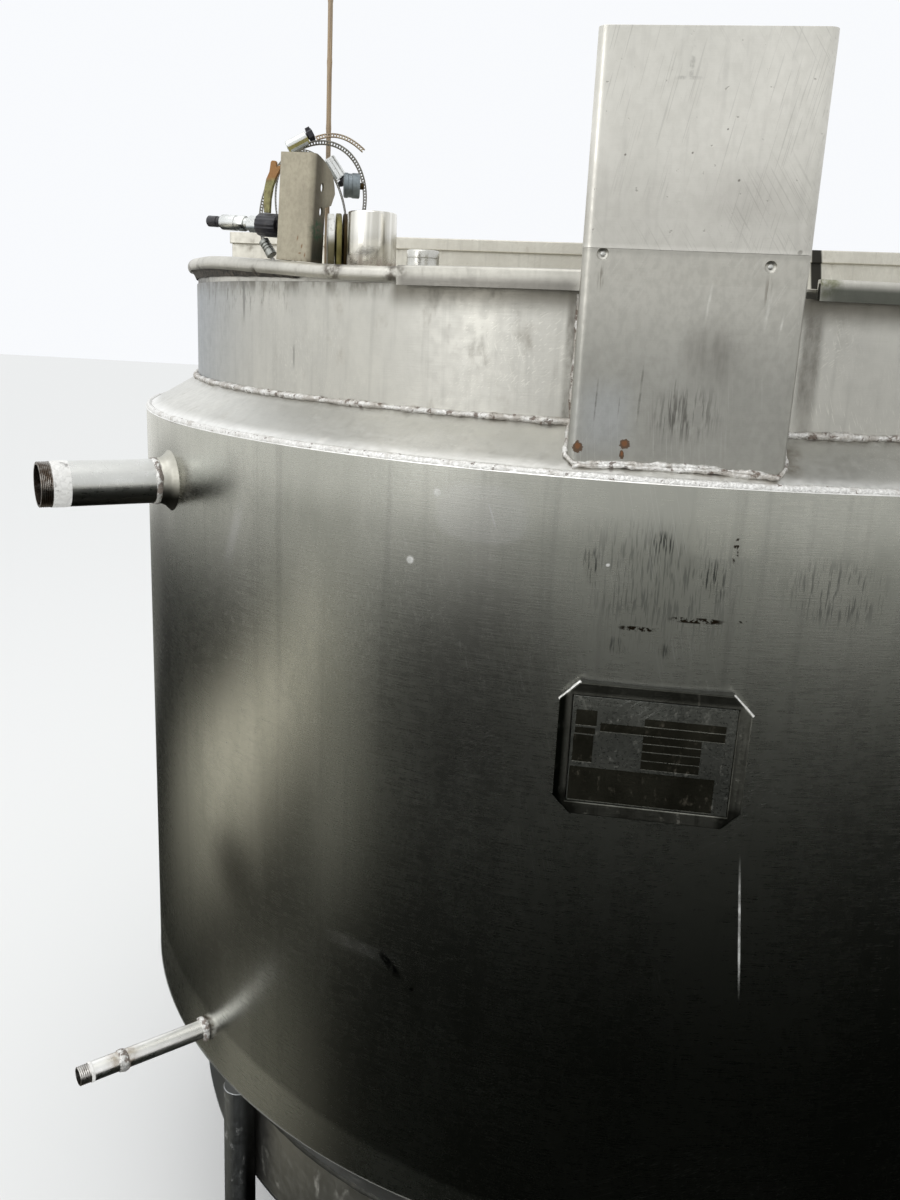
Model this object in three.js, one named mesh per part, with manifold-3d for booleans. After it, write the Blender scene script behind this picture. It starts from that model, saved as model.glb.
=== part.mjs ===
// Vertical jacketed steel storage tank on four pipe legs.
//
// An inner vessel (bare neck, rolled rim, dished bottom) stands inside a heating
// jacket that is closed to it by a cone at the top and a steeper cone at the bottom.
// A folded steel column stands on the top cone at the front, a bridge crosses the
// open top, and a half cover in front of it carries a few small fittings.
//
// Millimetres, +Z up. The origin is on the tank's axis at floor level, and the
// front, where the column and the data plate are, faces -Y.

import * as THREE from 'three';
import { mergeVertices } from 'three/addons/utils/BufferGeometryUtils.js';
import Module from 'manifold-3d';

const wasm = await Module();
wasm.setup();

// Gap between pieces that touch on the real tank.
const seam = 0.3;

// Round walls share one grid of flat facets, so that pieces one inside the other stay clear.
const facets = 96;

// Heights above the floor.
const vesselBottomZ = 269;
const bottomConeLowZ = 409;
const jacketBottomZ = 519;
const jacketTopZ = 1456;
const topConeHighZ = 1503.5;
const rimTopZ = 1659;
const columnSeamZ = 1676.5;
const columnTopZ = 1872;

// Shells: the vessel is 60 inches inside in quarter inch plate.
const vesselInnerRadius = 762;
const vesselWall = 6.35;
const vesselOuterRadius = vesselInnerRadius + vesselWall;
const jacketOuterRadius = 848;
const jacketWall = 4.8;
const jacketInnerRadius = jacketOuterRadius - jacketWall;
const bottomHeadDepth = 125;

// Rim.
const rimBeadHeight = 18.5;
const rimOuterRadius = 782;
const rimSheet = 3.2;
const rimCurlRadius = 8;
const frontLipHalfAngle = 23.3;
const lipSheet = 4;
const lipHeight = 21;

// Column folded from sheet, open at its back.
const columnCentreX = 2;
const columnWidth = 216;
const columnFaceY = -823;
const columnBackY = -762.6;
const columnSheet = 4;
const columnBendRadius = 10;
const columnGapRight = 20;

// Data plate and the frame that holds it off the jacket.
const plateCentreX = 5;
const plateCentreZ = 1172;
const plateFrameWidth = 197;
const plateFrameHeight = 148;
const plateFrameCorner = 20;
const plateFrameFaceY = -857;
const platePocketDepth = 3;
const plateWidth = 168;
const plateHeight = 119;
const plateThickness = 1.5;

// Pipes.
const upperPipe = { outer: 30.15, inner: 26.25 };
const lowerPipe = { outer: 13.35, inner: 10.5 };
const legPipe = { outer: 24.15, inner: 20.45 };
const upperNozzleZ = 1373;
const upperNozzleTipRadius = 1018;
const upperNozzleAngle = -141.1;
const lowerNozzleZ = 565.6;
const lowerNozzleTipRadius = 1035;
const lowerNozzleAngle = -134;
const legAngle = -133.7;
const legCapZ = 445;
const legCapThickness = 4;
const legFootWidth = 120;
const legFootThickness = 10;
const outletBottomZ = 78;
const outletFlangeRadius = 45;
const outletFlangeThickness = 12;

// Bridge over the open top. It lies a few degrees off square to the column.
const bridgeTurn = -3.5;
const bridgeCapWidth = 140;
const bridgeCapLip = 19.5;
const bridgeSheet = 5;
const bridgeTopZ = 1738.5;
const bridgeBoxWidth = 124;
const bridgeLength = 1506;
const bridgeFootReach = 759.3;
const bridgeFootWidth = 100;
const bridgeFootDepth = 24;
const bridgeFootLowZ = 1600;

// Half cover in front of the bridge.
const coverTopZ = 1650;
const coverThickness = 4;

// Fittings that stand on the cover and on the rim.
const stubPlace = { x: -367.8, y: -242, radius: 25, height: 55.5, edge: 3 };
const drumPlace = { x: -360.5, y: -622, radius: 29, height: 71, edge: 2 };
const bracketPlace = { x: -460.9, y: -614.1, turn: -18, lean: 3, drop: 1.9, rise: 5.6 };
const bracketWidth = 48;
const bracketHeight = 122;
const bracketDepth = 50;
const bracketSheet = 3;
const clampPlace = { x: -463, y: -531, turn: 16.7 };
const bandWidth = 12;
const bandThickness = 1.2;
const largeBand = { x: 4.1, rx: 63.2, rz: 83.9, lean: -22.5, y: 0, screwAt: 134 };
const smallBand = { x: 2.1, rx: 44.5, rz: 77.6, lean: 11.8, y: 13, screwAt: 38 };

const radians = THREE.MathUtils.degToRad;

// Finishes, as they look on the real tank.
function steel(color, roughness = 0.42, metalness = 0.9) {
  return new THREE.MeshStandardMaterial({ color, roughness, metalness });
}
const finish = {
  jacket: steel(0x8b8c8a),
  neck: steel(0xb9b7b0),
  rim: steel(0xc6c3b8, 0.5),
  column: steel(0xa9a9a5),
  plate: steel(0x6f706e, 0.35),
  leg: steel(0x7d7f7e, 0.5),
  pipe: steel(0xa5a5a0),
  cover: steel(0xb4b2aa, 0.5),
  bracket: steel(0xb8b29c, 0.55),
  rod: steel(0xa08f70, 0.8, 0.1),
  zinc: steel(0xb9bdb8, 0.3),
  black: steel(0x17161a, 0.5, 0.0),
  olive: steel(0x7c7a45, 0.6, 0.3),
};

const tank = new THREE.Group();
tank.name = 'jacketed_tank';

function add(parent, name, geometry, material) {
  const mesh = new THREE.Mesh(geometry, material);
  mesh.name = name;
  parent.add(mesh);
  return mesh;
}

// Closed mesh to solid and back, for the cuts below.
function toSolid(geometry) {
  const bare = geometry.clone();
  bare.deleteAttribute('normal');
  bare.deleteAttribute('uv');
  const merged = mergeVertices(bare, 1e-4);
  return new wasm.Manifold(new wasm.Mesh({
    numProp: 3,
    vertProperties: Float32Array.from(merged.attributes.position.array),
    triVerts: Uint32Array.from(merged.index.array),
  }));
}

function toGeometry(solid) {
  const mesh = solid.getMesh();
  const geometry = new THREE.BufferGeometry();
  geometry.setAttribute('position', new THREE.BufferAttribute(Float32Array.from(mesh.vertProperties), 3));
  geometry.setIndex(new THREE.BufferAttribute(Uint32Array.from(mesh.triVerts), 1));
  geometry.computeVertexNormals();
  return geometry;
}

function cut(geometry, ...tools) {
  return toGeometry(tools.reduce((solid, tool) => solid.subtract(toSolid(tool)), toSolid(geometry)));
}

function keep(geometry, tool) {
  return toGeometry(toSolid(geometry).intersect(toSolid(tool)));
}

function join(...geometries) {
  return toGeometry(geometries.map(toSolid).reduce((whole, next) => whole.add(next)));
}

// Ring or disc turned about the Z axis from a profile of [radius, z] pairs that closes on itself,
// or that starts and ends on the axis.
function turned(profile, steps = facets) {
  const points = profile.map(([radius, z]) => new THREE.Vector2(radius, z));
  const onAxis = profile[0][0] === 0;
  if (!onAxis) {
    points.push(points[0].clone());
  }
  const geometry = new THREE.LatheGeometry(points, steps);
  geometry.rotateX(Math.PI / 2);
  const area = THREE.ShapeUtils.area(points);
  return area > 0 ? geometry : flipped(geometry);
}

function flipped(geometry) {
  const index = geometry.index.array;
  for (let i = 0; i < index.length; i += 3) {
    [index[i], index[i + 1]] = [index[i + 1], index[i]];
  }
  return geometry;
}

function box(x0, x1, y0, y1, z0, z1) {
  const geometry = new THREE.BoxGeometry(x1 - x0, y1 - y0, z1 - z0);
  geometry.translate((x0 + x1) / 2, (y0 + y1) / 2, (z0 + z1) / 2);
  return geometry;
}

function tube(outer, inner, z0, z1, steps) {
  return turned([[inner, z0], [outer, z0], [outer, z1], [inner, z1]], steps);
}

function rod(radius, z0, z1, steps) {
  return turned([[0, z0], [radius, z0], [radius, z1], [0, z1]], steps);
}

// Stands a shape drawn in the XZ plane up and gives it its depth along +Y from y.
function standing(shape, y, depth, curveSegments = 8) {
  const geometry = new THREE.ExtrudeGeometry(shape, { depth, bevelEnabled: false, curveSegments });
  geometry.rotateX(Math.PI / 2);
  geometry.translate(0, y + depth, 0);
  return geometry;
}

// Lays a piece built along +Z down so that it points out along the given angle at height z.
function radial(geometry, angle, z) {
  geometry.rotateY(Math.PI / 2);
  geometry.rotateZ(radians(angle));
  geometry.translate(0, 0, z);
  return geometry;
}

function chamferedOutline(width, height, corner) {
  const w = width / 2;
  const h = height / 2;
  const shape = new THREE.Shape();
  shape.moveTo(-w + corner, -h);
  shape.lineTo(w - corner, -h);
  shape.lineTo(w, -h + corner);
  shape.lineTo(w, h - corner);
  shape.lineTo(w - corner, h);
  shape.lineTo(-w + corner, h);
  shape.lineTo(-w, h - corner);
  shape.lineTo(-w, -h + corner);
  shape.closePath();
  return shape;
}

const reach = 1200;
const frontHalf = box(-reach, reach, -reach, -seam / 2, -reach, 2 * reach);
const rearHalf = box(-reach, reach, seam / 2, reach, -reach, 2 * reach);

// Jacket wall, rolled from two plates that meet at the sides. The two pairs of nozzles open into
// it.
const upperBore = radial(rod(upperPipe.inner, 700, 900, 24), upperNozzleAngle, upperNozzleZ);
const lowerBore = radial(rod(lowerPipe.inner, 800, 900, 16), lowerNozzleAngle, lowerNozzleZ);
const jacketTube = tube(jacketOuterRadius, jacketInnerRadius, jacketBottomZ + seam, jacketTopZ - seam);
const jacketFront = cut(keep(jacketTube, frontHalf), upperBore, lowerBore);
add(tank, 'jacket_wall_front', jacketFront, finish.jacket);
add(tank, 'jacket_wall_rear', jacketFront.clone().rotateZ(Math.PI), finish.jacket);

// Vessel wall, from the bottom seam up to the rim, also two plates.
const beadBottomZ = rimTopZ - rimBeadHeight;
const vesselTube = tube(vesselOuterRadius, vesselInnerRadius, vesselBottomZ, beadBottomZ - seam);
add(tank, 'vessel_wall_front', keep(vesselTube, frontHalf), finish.neck);
add(tank, 'vessel_wall_rear', keep(vesselTube, rearHalf), finish.neck);

// Closures: a flat cone on top of the jacket and a steep one under it, welded to the vessel.
const closureEndRadius = vesselOuterRadius + seam;
add(tank, 'top_closure', turned([
  [jacketOuterRadius, jacketTopZ],
  [closureEndRadius, topConeHighZ],
  [closureEndRadius, topConeHighZ - jacketWall * 1.17],
  [jacketInnerRadius, jacketTopZ],
]), finish.neck);
add(tank, 'bottom_closure', turned([
  [jacketOuterRadius, jacketBottomZ],
  [jacketInnerRadius, jacketBottomZ],
  [closureEndRadius, bottomConeLowZ + jacketWall * 1.7],
  [closureEndRadius, bottomConeLowZ],
]), finish.jacket);

// Dished bottom with its outlet pipe and flange.
function dish(radius, depth, steps, lastRadius) {
  const points = [];
  for (let i = 0; i <= steps; i += 1) {
    const r = radius + (lastRadius - radius) * Math.sin(Math.PI / 2 * i / steps);
    points.push([r, vesselBottomZ - seam - depth * Math.sqrt(1 - (r / radius) ** 2)]);
  }
  return points;
}
const dishSteps = 9;
add(tank, 'bottom_head', turned([
  ...dish(vesselOuterRadius, bottomHeadDepth, dishSteps, upperPipe.inner),
  ...dish(vesselInnerRadius, bottomHeadDepth - vesselWall, dishSteps, upperPipe.inner).reverse(),
], 48), finish.jacket);
add(tank, 'bottom_outlet', turned([
  [upperPipe.inner, outletBottomZ],
  [outletFlangeRadius, outletBottomZ],
  [outletFlangeRadius, outletBottomZ + outletFlangeThickness],
  [upperPipe.outer, outletBottomZ + outletFlangeThickness],
  [upperPipe.outer, vesselBottomZ - bottomHeadDepth - 2 * seam],
  [upperPipe.inner, vesselBottomZ - bottomHeadDepth - 2 * seam],
], 32), finish.pipe);

// Nozzles, cut to the round of the jacket. The pair at the back right is the front left pair
// turned half round the tank.
const jacketCore = rod(jacketOuterRadius + seam, 0, 1600);
function nozzle(pipe, tipRadius, angle, z, steps) {
  return cut(radial(tube(pipe.outer, pipe.inner, 800, tipRadius, steps), angle, z), jacketCore);
}
const nozzlePairs = { left: 0, right: Math.PI };
for (const [side, turn] of Object.entries(nozzlePairs)) {
  const upper = nozzle(upperPipe, upperNozzleTipRadius, upperNozzleAngle, upperNozzleZ, 24);
  add(tank, `upper_nozzle_${side}`, upper.rotateZ(turn), finish.pipe);
  const lower = nozzle(lowerPipe, lowerNozzleTipRadius, lowerNozzleAngle, lowerNozzleZ, 16);
  add(tank, `lower_nozzle_${side}`, lower.rotateZ(turn), finish.pipe);
}

// Pipe legs against the vessel wall. Each has a flat cap, which stands half out of the bottom
// cone, and a foot plate.
const legCentreRadius = vesselOuterRadius + seam + legPipe.outer;
const underCone = turned([
  [600, bottomConeLowZ - 2 * seam],
  [closureEndRadius + seam, bottomConeLowZ - 2 * seam],
  [jacketOuterRadius + 2 * seam, jacketBottomZ - seam],
  [jacketOuterRadius + 2 * seam, 700],
  [600, 700],
]);
const footHalf = legFootWidth / 2;
const legTurns = { front_left: 0, front_right: 90, rear_right: 180, rear_left: 270 };
for (const [place, turn] of Object.entries(legTurns)) {
  const pipe = tube(legPipe.outer, legPipe.inner, legFootThickness / 2, legCapZ - 1, 24);
  const cap = rod(legPipe.outer, legCapZ - legCapThickness, legCapZ, 24);
  const foot = box(-footHalf, footHalf, -footHalf, footHalf, 0, legFootThickness);
  const leg = join(pipe, cap, foot);
  leg.translate(legCentreRadius, 0, 0);
  leg.rotateZ(radians(legAngle + turn));
  add(tank, `leg_${place}`, cut(leg, underCone), finish.leg);
}

// Rim: the sheet curls over and out all round the neck but for the front, where a folded lip
// takes its place on both sides of the column.
const curlMidRadius = rimOuterRadius - rimSheet / 2 - rimCurlRadius;
const curlMidZ = rimTopZ - rimSheet / 2 - rimCurlRadius;
const curlSteps = 9;
const curlSweep = 228;
function curlSide(radius) {
  const points = [];
  for (let i = 0; i <= curlSteps; i += 1) {
    const turn = radians(180 - (curlSweep * i) / curlSteps);
    points.push([curlMidRadius + radius * Math.cos(turn), curlMidZ + radius * Math.sin(turn)]);
  }
  return points;
}
const curlProfile = [
  [curlMidRadius - rimCurlRadius + rimSheet / 2, beadBottomZ],
  ...curlSide(rimCurlRadius - rimSheet / 2),
  ...curlSide(rimCurlRadius + rimSheet / 2).reverse(),
  [curlMidRadius - rimCurlRadius - rimSheet / 2, beadBottomZ],
];
function frontWedge(halfAngle) {
  const shape = new THREE.Shape();
  shape.moveTo(0, 0);
  for (const side of [-1, 1]) {
    const angle = radians(-90 + side * halfAngle);
    shape.lineTo(reach * Math.cos(angle), reach * Math.sin(angle));
  }
  shape.closePath();
  return new THREE.ExtrudeGeometry(shape, { depth: 2 * reach, bevelEnabled: false });
}

// At the left the curl has been bent up: it rises from beside the front lip, is highest at the
// side and comes down again towards the back. Its foot on the neck stays where it is.
const rimRise = { height: 16, start: -114, full: -147, end: -165, gone: -195 };
function rimRiseAt(x, y) {
  let angle = THREE.MathUtils.radToDeg(Math.atan2(y, x));
  if (angle > 90) {
    angle -= 360;
  }
  const before = THREE.MathUtils.smoothstep(-angle, -rimRise.start, -rimRise.full);
  const after = THREE.MathUtils.smoothstep(angle, rimRise.gone, rimRise.end);
  return rimRise.height * before * after;
}
const curl = turned(curlProfile);
const curlPoints = curl.attributes.position;
for (let i = 0; i < curlPoints.count; i += 1) {
  if (curlPoints.getZ(i) > beadBottomZ + 1) {
    curlPoints.setZ(i, curlPoints.getZ(i) + rimRiseAt(curlPoints.getX(i), curlPoints.getY(i)));
  }
}
add(tank, 'rim_bead', cut(curl, frontWedge(frontLipHalfAngle)), finish.rim);

const lipRing = turned([
  [vesselInnerRadius, rimTopZ - lipSheet],
  [rimOuterRadius + 1 - lipSheet, rimTopZ - lipSheet],
  [rimOuterRadius + 1 - lipSheet, rimTopZ - lipHeight],
  [rimOuterRadius + 1, rimTopZ - lipHeight],
  [rimOuterRadius + 1, rimTopZ - lipSheet / 2],
  [rimOuterRadius + 1 - lipSheet / 2, rimTopZ],
  [vesselInnerRadius, rimTopZ],
]);
// The neck below the lip runs up to the lip's sheet, so a filler strip of neck plate is part of it.
const lipNeck = tube(vesselOuterRadius, vesselInnerRadius, beadBottomZ, rimTopZ - lipSheet / 2);
const lipEndGap = 0.03;
const frontLip = keep(join(lipRing, lipNeck), frontWedge(frontLipHalfAngle - lipEndGap));
const columnLeftX = columnCentreX - columnWidth / 2;
const columnRightX = columnCentreX + columnWidth / 2;
add(tank, 'front_lip_left', keep(
  frontLip,
  box(-reach, columnLeftX - seam, -reach, 0, 0, 2 * reach),
), finish.rim);
add(tank, 'front_lip_right', keep(
  frontLip,
  box(columnRightX + columnGapRight, reach, -reach, 0, 0, 2 * reach),
), finish.rim);

// Column: two folded lengths, one on the other, standing on the top cone.
function columnLength(z0, z1) {
  const w = columnWidth / 2;
  const outline = new THREE.Shape();
  outline.moveTo(-w, columnBackY);
  outline.lineTo(-w, columnFaceY + columnBendRadius);
  const bendX = w - columnBendRadius;
  const bendY = columnFaceY + columnBendRadius;
  outline.absarc(-bendX, bendY, columnBendRadius, Math.PI, 1.5 * Math.PI);
  outline.absarc(bendX, bendY, columnBendRadius, 1.5 * Math.PI, 2 * Math.PI);
  outline.lineTo(w, columnBackY);
  outline.lineTo(w - columnSheet, columnBackY);
  const inner = columnBendRadius - columnSheet;
  outline.absarc(bendX, bendY, inner, 2 * Math.PI, 1.5 * Math.PI, true);
  outline.absarc(-bendX, bendY, inner, 1.5 * Math.PI, Math.PI, true);
  outline.lineTo(-w + columnSheet, columnBackY);
  outline.closePath();
  const geometry = new THREE.ExtrudeGeometry(outline, {
    depth: z1 - z0,
    bevelEnabled: false,
    curveSegments: 4,
  });
  geometry.translate(columnCentreX, 0, z0);
  return geometry;
}
const coneTop = turned([
  [0, 1300],
  [jacketOuterRadius + seam, 1300],
  [jacketOuterRadius + seam, jacketTopZ + 2 * seam],
  [vesselOuterRadius + seam, topConeHighZ + 2 * seam],
  [0, topConeHighZ + 2 * seam],
]);
add(tank, 'column_lower', cut(columnLength(jacketTopZ, columnSeamZ - seam), coneTop), finish.column);
add(tank, 'column_upper', columnLength(columnSeamZ, columnTopZ), finish.column);

// Data plate in its frame. The frame's back follows the jacket.
const frameOutline = chamferedOutline(plateFrameWidth, plateFrameHeight, plateFrameCorner);
const frameBody = standing(frameOutline, plateFrameFaceY, 30);
const pocketFloorY = plateFrameFaceY + platePocketDepth;
const pocketHalfWidth = plateWidth / 2 + 0.5;
const pocketHalfHeight = plateHeight / 2 + 0.5;
const pocket = box(
  -pocketHalfWidth,
  pocketHalfWidth,
  plateFrameFaceY - 1,
  pocketFloorY,
  -pocketHalfHeight,
  pocketHalfHeight,
);
for (const piece of [frameBody, pocket]) {
  piece.translate(plateCentreX, 0, plateCentreZ);
}
add(tank, 'data_plate_frame', cut(frameBody, pocket, jacketCore), finish.plate);
const dataPlate = box(
  plateCentreX - plateWidth / 2,
  plateCentreX + plateWidth / 2,
  pocketFloorY - seam - plateThickness,
  pocketFloorY - seam,
  plateCentreZ - plateHeight / 2,
  plateCentreZ + plateHeight / 2,
);
add(tank, 'data_plate', dataPlate, finish.plate);

// Half cover in front of the bridge, inside the rim, with a short capped stub on it.
const bridge = new THREE.Group();
bridge.rotation.z = radians(bridgeTurn);
tank.add(bridge);
const behindCover = box(-reach, reach, -bridgeBoxWidth / 2 - seam, reach, 0, 2 * reach);
behindCover.rotateZ(radians(bridgeTurn));
const coverDisc = rod(vesselInnerRadius - seam, coverTopZ - coverThickness, coverTopZ);
add(tank, 'front_cover', cut(coverDisc, behindCover), finish.cover);

// Bridge: a box of plates from side to side under a cap with turned down edges. A foot at each
// end runs down inside the neck and is welded to it.
const bridgeBoxTop = bridgeTopZ - bridgeSheet - seam;
const bridgeHalf = bridgeLength / 2;
const boxHalf = bridgeBoxWidth / 2;
const boxEndX = bridgeHalf - 1;
const bridgeBox = cut(
  box(-boxEndX, boxEndX, -boxHalf, boxHalf, rimTopZ + seam, bridgeBoxTop),
  box(
    -boxEndX + bridgeSheet,
    boxEndX - bridgeSheet,
    -boxHalf + bridgeSheet,
    boxHalf - bridgeSheet,
    0,
    2 * reach,
  ),
);
const bridgeFeet = [-1, 1].map((side) => {
  const far = side * bridgeFootReach;
  const near = side * (bridgeFootReach - bridgeFootDepth);
  return box(
    Math.min(near, far),
    Math.max(near, far),
    -bridgeFootWidth / 2,
    bridgeFootWidth / 2,
    bridgeFootLowZ,
    rimTopZ + 2 * bridgeSheet,
  );
});
add(bridge, 'bridge_box', join(bridgeBox, ...bridgeFeet), finish.cover);
const capHalf = bridgeCapWidth / 2;
const bridgeCap = cut(
  box(-bridgeHalf, bridgeHalf, -capHalf, capHalf, bridgeTopZ - bridgeCapLip, bridgeTopZ),
  box(-reach, reach, -capHalf + bridgeSheet, capHalf - bridgeSheet, 0, bridgeTopZ - bridgeSheet),
);
add(bridge, 'bridge_cap', bridgeCap, finish.cover);

// Upright round piece with a bevelled top edge, standing on the cover.
function standingRound(place, steps) {
  const top = coverTopZ + place.height;
  const piece = turned([
    [0, coverTopZ + seam],
    [place.radius, coverTopZ + seam],
    [place.radius, top - place.edge],
    [place.radius - place.edge, top],
    [0, top],
  ], steps);
  piece.translate(place.x, place.y, 0);
  return piece;
}
add(tank, 'cover_stub', standingRound(stubPlace, 32), finish.cover);

// Polished drum on the cover, close to the rim.
add(tank, 'drum', standingRound(drumPlace, 32), finish.zinc);

// Bracket group: +X to the right along the bracket's face, +Y back from it, Z up from the rim.
const bracketGroup = new THREE.Group();
bracketGroup.position.set(bracketPlace.x, bracketPlace.y, rimTopZ + seam + bracketPlace.rise);
bracketGroup.rotation.z = radians(bracketPlace.turn);
tank.add(bracketGroup);

// Folded channel, open at its back, leaning a little on the crown of the rim. Its right flange
// has a step and two slots.
function bracketFlange(slotHeights) {
  // Drawn as depth (x) by height (y), then turned to run back from the face.
  const outline = new THREE.Shape();
  outline.moveTo(0, 0);
  outline.lineTo(30, 0);
  outline.lineTo(30, 64);
  outline.lineTo(43, 68);
  outline.lineTo(bracketDepth, 82);
  outline.quadraticCurveTo(48, 98, 38, 107);
  outline.quadraticCurveTo(22, 119, 8, bracketHeight);
  outline.lineTo(0, bracketHeight);
  outline.closePath();
  for (const height of slotHeights) {
    const slot = new THREE.Path();
    slot.absellipse(22, height, 3.5, 5.5, 0, 2 * Math.PI, true);
    outline.holes.push(slot);
  }
  const geometry = new THREE.ExtrudeGeometry(outline, {
    depth: bracketSheet,
    bevelEnabled: false,
    curveSegments: 8,
  });
  geometry.rotateX(Math.PI / 2);
  geometry.rotateZ(Math.PI / 2);
  return geometry;
}
const rightFlange = bracketFlange([86, 59]);
rightFlange.translate(bracketWidth / 2 - bracketSheet, 0, 0);
const leftFlange = bracketFlange([]);
leftFlange.translate(-bracketWidth / 2, 0, 0);
const web = box(-bracketWidth / 2, bracketWidth / 2, 0, bracketSheet, 0, bracketHeight);
const leaningGroup = new THREE.Group();
leaningGroup.rotation.y = radians(bracketPlace.lean);
leaningGroup.position.z = (bracketWidth / 2) * Math.sin(radians(bracketPlace.lean)) - bracketPlace.drop;
bracketGroup.add(leaningGroup);
add(leaningGroup, 'rim_bracket', join(web, leftFlange, rightFlange), finish.bracket);

// Lays a piece built along +Z down along the bracket's -X, with its base at x.
function leftward(geometry, x, y, z) {
  geometry.rotateY(-Math.PI / 2);
  geometry.translate(x, y, z);
  return geometry;
}

// Probe at the bracket's left: a black knob on a spindle, a plated fitting, an elbow and a bent tab.
const probeY = 29;
const probeZ = 40;
const knobLength = 46;
const knobRadius = 14;
const knobX = -bracketWidth / 2 - seam;
const knob = turned([
  [0, 0], [8, 0], [8, 16], [knobRadius, 16], [knobRadius, knobLength], [0, knobLength],
], 20);
add(leaningGroup, 'probe_knob', leftward(knob, knobX, probeY, probeZ), finish.black);
const fittingX = knobX - knobLength - seam;
const fitting = turned([
  [0, 0], [10, 0], [10, 16], [8, 16], [8, 21], [10, 21], [10, 58], [7, 60], [7, 80], [0, 80],
], 6);
add(leaningGroup, 'probe_fitting', leftward(fitting, fittingX, probeY, probeZ), finish.zinc);
const elbow = rod(6.5, -11, 11, 12);
elbow.rotateY(radians(-40));
elbow.translate(-57, probeY, 13);
add(leaningGroup, 'probe_elbow', elbow, finish.zinc);
const tabLowZ = probeZ + knobRadius + seam;
const tabOutline = new THREE.Shape();
tabOutline.moveTo(-64, tabLowZ);
tabOutline.lineTo(-55.5, tabLowZ);
tabOutline.quadraticCurveTo(-57, 87, -42, 106);
tabOutline.lineTo(-42, 111);
tabOutline.lineTo(-48.5, 107);
tabOutline.lineTo(-49, 115);
tabOutline.lineTo(-57, 115);
tabOutline.lineTo(-58.5, 102);
tabOutline.quadraticCurveTo(-69, 87, -64, tabLowZ);
tabOutline.closePath();
add(leaningGroup, 'bent_tab', standing(tabOutline, probeY - 2, 4, 5), finish.olive);

// Two big worm drive clamps stand behind the bracket, seen from the front as leaning loops.
const clampGroup = new THREE.Group();
clampGroup.position.set(clampPlace.x, clampPlace.y, coverTopZ + seam);
clampGroup.rotation.z = radians(clampPlace.turn);
tank.add(clampGroup);

// Height of the loop's middle above the cover, so that its lowest point rests there.
function bandMidZ(band) {
  return Math.hypot(band.rx * Math.sin(radians(band.lean)), band.rz * Math.cos(radians(band.lean)));
}
function bandOutline(band, grow, Kind = THREE.Shape) {
  const outline = new Kind();
  const inner = Kind === THREE.Path;
  outline.absellipse(
    band.x,
    bandMidZ(band),
    band.rx + grow,
    band.rz + grow,
    0,
    2 * Math.PI,
    inner,
    radians(band.lean),
  );
  return outline;
}
function clampBand(band) {
  const outline = bandOutline(band, 0);
  outline.holes.push(bandOutline(band, -bandThickness, THREE.Path));
  return standing(outline, band.y, bandWidth, 18);
}
// Worm housing and its screw head, saddled on the band at the given angle round it. The head
// points on round the loop to the right.
const wormHalfLength = 14;
const wormRadius = 7;
function clampScrew(band) {
  const at = radians(band.screwAt);
  const lean = radians(band.lean);
  const saddle = box(-wormHalfLength, wormHalfLength, -1, bandWidth + 1, -2, wormRadius);
  const barrel = rod(wormRadius, -wormHalfLength, wormHalfLength, 12);
  const screwHead = rod(7.5, wormHalfLength - 1, wormHalfLength + 9, 8);
  for (const piece of [barrel, screwHead]) {
    piece.rotateY(Math.PI / 2);
    piece.translate(0, bandWidth / 2, wormRadius);
  }
  const worm = join(saddle, barrel, screwHead);
  const alongX = band.rx * Math.sin(at) * Math.cos(lean) + band.rz * Math.cos(at) * Math.sin(lean);
  const alongZ = band.rx * Math.sin(at) * Math.sin(lean) - band.rz * Math.cos(at) * Math.cos(lean);
  worm.rotateY(Math.atan2(-alongZ, alongX));
  worm.translate(
    band.x + band.rx * Math.cos(at) * Math.cos(lean) - band.rz * Math.sin(at) * Math.sin(lean),
    band.y,
    bandMidZ(band) + band.rx * Math.cos(at) * Math.sin(lean) + band.rz * Math.sin(at) * Math.cos(lean),
  );
  return cut(worm, standing(bandOutline(band, seam), band.y - 5, bandWidth + 10, 18));
}
add(clampGroup, 'clamp_band_large', clampBand(largeBand), finish.zinc);
add(clampGroup, 'clamp_band_small', clampBand(smallBand), finish.zinc);
add(clampGroup, 'clamp_screw_large', clampScrew(largeBand), finish.zinc);
add(clampGroup, 'clamp_screw_small', clampScrew(smallBand), finish.zinc);

// Short plug held by its spigot against the inside of the large loop.
const plug = join(rod(15, 0, 20, 20), rod(4, 19, 25.6, 20));
plug.rotateY(Math.PI / 2);
plug.translate(42, -4, 111.7);
add(clampGroup, 'clamp_plug', plug, finish.zinc);

// Stack of three discs on one spindle between the loops and the drum, lying on its rims on the cover.
const discRadius = 37;
const discStack = turned([
  [0, 0], [12, 0], [12, 1], [discRadius, 1], [discRadius, 8], [14, 8],
  [14, 10], [discRadius, 10], [discRadius, 17], [14, 17],
  [14, 19], [discRadius - 1, 19], [discRadius - 1, 27], [0, 27],
], 28);
leftward(discStack, 48.5, -45.6, discRadius);
add(clampGroup, 'disc_stack', discStack, finish.olive);

// Rod standing on the cover behind the loops.
const standingRod = rod(3.75, 0, 333, 10);
standingRod.translate(23, 38, 0);
add(clampGroup, 'bracket_rod', standingRod, finish.rod);

export default tank;
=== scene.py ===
# Vertical jacketed steel storage tank: the finished look built round the fixed frame.
# Metres, +Z up, the front faces -Y, and the origin is on the tank's axis at floor level.

import math

import bmesh
import bpy
from mathutils import Matrix, Vector, noise


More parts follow.
